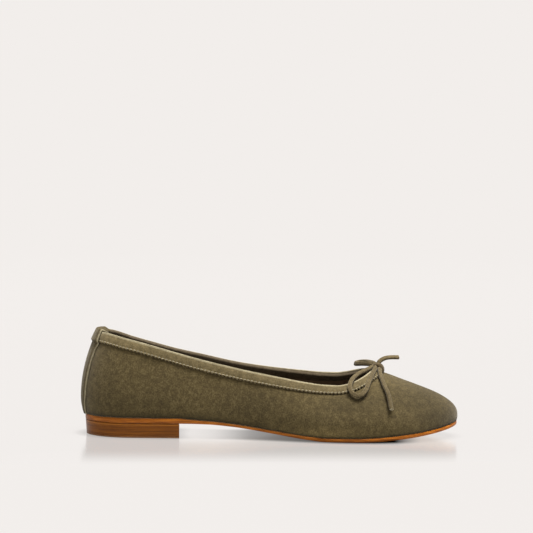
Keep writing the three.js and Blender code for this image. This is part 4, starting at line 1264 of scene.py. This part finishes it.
def lit_acrylic():
    """A white acrylic sheet that glows from below, so that no shadow on it is deep, except a painted shade
    that darkens the glow where pieces touch it or are near. Close in front of the shoe it mirrors softly."""
    acrylic, mm = new_material("lit_white_acrylic")
    colour = to_linear(FLOOR_COLOUR)
    matt_colour = (*(c * FLOOR_SHADED / LAMP_ON_FLOOR for c in colour[:3]), 1.0)
    distance = add(acrylic, "VectorMath", {0: mm}, operation="LENGTH").outputs["Value"]
    fade = add(acrylic, "MapRange", {
        "Value": distance, "From Min": FADES_FROM, "From Max": FADES_TO,
    }).outputs[0]
    place = add(acrylic, "SeparateXYZ", {0: mm}).outputs
    before = add(acrylic, "Math", {
        0: place["X"], 1: MIRROR_SLANT, 2: place["Y"],
    }, operation="MULTIPLY_ADD").outputs[0]
    mirrors = add(acrylic, "MapRange", {
        "Value": before, "From Min": MIRROR_FROM, "From Max": MIRROR_TO, "To Max": FLOOR_MIRROR,
    }, interpolation_type="SMOOTHSTEP").outputs[0]
    unblocked = add(acrylic, "AmbientOcclusion", {"Distance": CONTACT_REACH}, samples=16).outputs["AO"]
    unshaded = add(acrylic, "Math", {0: unblocked, 1: CONTACT_SHARPNESS}, operation="POWER").outputs[0]
    # The painted shade is deepest under the ball, lighter under the toe and thin round the heel
    along = add(acrylic, "Math", {
        0: place["X"], 1: 1 / LENGTH, 2: 0.5,
    }, operation="MULTIPLY_ADD").outputs[0]
    deep = colour_ramp(
        acrylic, along, (0.3, "#a0a0a0"), (0.45, "#dcdcdc"), (0.62, "#ececec"), (0.7, "#ffffff"),
        (0.83, "#ffffff"), (0.9, "#6a6a6a"),
    )
    blocked = add(acrylic, "Math", {0: 1.0, 1: unshaded}, operation="SUBTRACT").outputs[0]
    shade = add(acrylic, "Math", {0: blocked, 1: deep}, operation="MULTIPLY").outputs[0]
    open_sky = add(acrylic, "Math", {0: 1.0, 1: shade}, operation="SUBTRACT").outputs[0]
    mirrored = add(acrylic, "Math", {0: mirrors, 1: open_sky}, operation="MULTIPLY").outputs[0]
    strength = add(acrylic, "Math", {0: open_sky, 1: 1 - FLOOR_SHADED}, operation="MULTIPLY").outputs[0]
    glow = add(acrylic, "Emission", {"Color": colour, "Strength": strength}).outputs[0]
    matt = add(acrylic, "BsdfDiffuse", {"Color": matt_colour}).outputs[0]
    lit = add(acrylic, "AddShader", {0: glow, 1: matt}).outputs[0]
    mirror = add(acrylic, "BsdfGlossy", {
        "Color": (1.0, 1.0, 1.0, 1.0), "Roughness": MIRROR_ROUGHNESS,
    }).outputs[0]
    sheet = add(acrylic, "MixShader", {0: mirrored, 1: lit, 2: mirror}).outputs[0]
    far = add(acrylic, "Emission", {"Color": colour, "Strength": 1.0}).outputs[0]
    return finish_material(acrylic, add(acrylic, "MixShader", {0: fade, 1: sheet, 2: far}))


# The sheet is a dish, in metres: flat this far out, and then curving up this far
FLOOR_RADIUS, FLOOR_RISE = 2.2, 1.2
FLAT_RINGS, RISING_RINGS, FLOOR_COLUMNS = 12, 16, 96
climb = np.linspace(0, math.pi / 2, RISING_RINGS)[1:]
radii = np.concatenate([np.linspace(0, FLOOR_RADIUS, FLAT_RINGS), FLOOR_RADIUS + FLOOR_RISE * np.sin(climb)])
heights = np.concatenate([np.zeros(FLAT_RINGS), FLOOR_RISE * (1 - np.cos(climb))])
around = np.linspace(0, 2 * math.pi, FLOOR_COLUMNS, endpoint=False)
dish = np.stack([
    radii[:, None] * np.cos(around), radii[:, None] * np.sin(around),
    np.repeat(heights[:, None], FLOOR_COLUMNS, 1),
], -1)
build("floor", [(dish, False, True, 0)], [lit_acrylic()], merge=1e-6)

STUDIO_COLOUR = "#ece8e4"
STUDIO_STRENGTH = 0.15
world = bpy.data.worlds.new("studio")
bpy.context.scene.world = world
world.use_nodes = True
background = world.node_tree.nodes["Background"]
background.inputs["Color"].default_value = to_linear(STUDIO_COLOUR)
background.inputs["Strength"].default_value = STUDIO_STRENGTH

# A broad lamp high up, a little in front of the shoe and to its toe side, and a smaller one beside it, which
# draws the edges of the shadows. turn is from straight in front towards the toe, angle how wide the lamp is,
# both in degrees, and share is the lamp's part of the light.
LAMPS = [
    {"name": "broad_lamp", "elevation": 80, "turn": 25, "angle": 60, "share": 0.5},
    {"name": "key_lamp", "elevation": 77, "turn": 58, "angle": 15, "share": 0.5},
]
for row in LAMPS:
    elevation, turn = math.radians(row["elevation"]), math.radians(row["turn"])
    lamp = bpy.data.lights.new(row["name"], "SUN")
    lamp.energy = row["share"] * LAMP_ON_FLOOR * math.pi / math.sin(elevation)
    lamp.angle = math.radians(row["angle"])
    lamp_object = bpy.data.objects.new(row["name"], lamp)
    towards_lamp = Vector((
        math.cos(elevation) * math.sin(turn), -math.cos(elevation) * math.cos(turn), math.sin(elevation),
    ))
    lamp_object.rotation_euler = towards_lamp.to_track_quat("Z", "Y").to_euler()
    bpy.context.scene.collection.objects.link(lamp_object)

bpy.context.scene.view_settings.view_transform = "Standard"
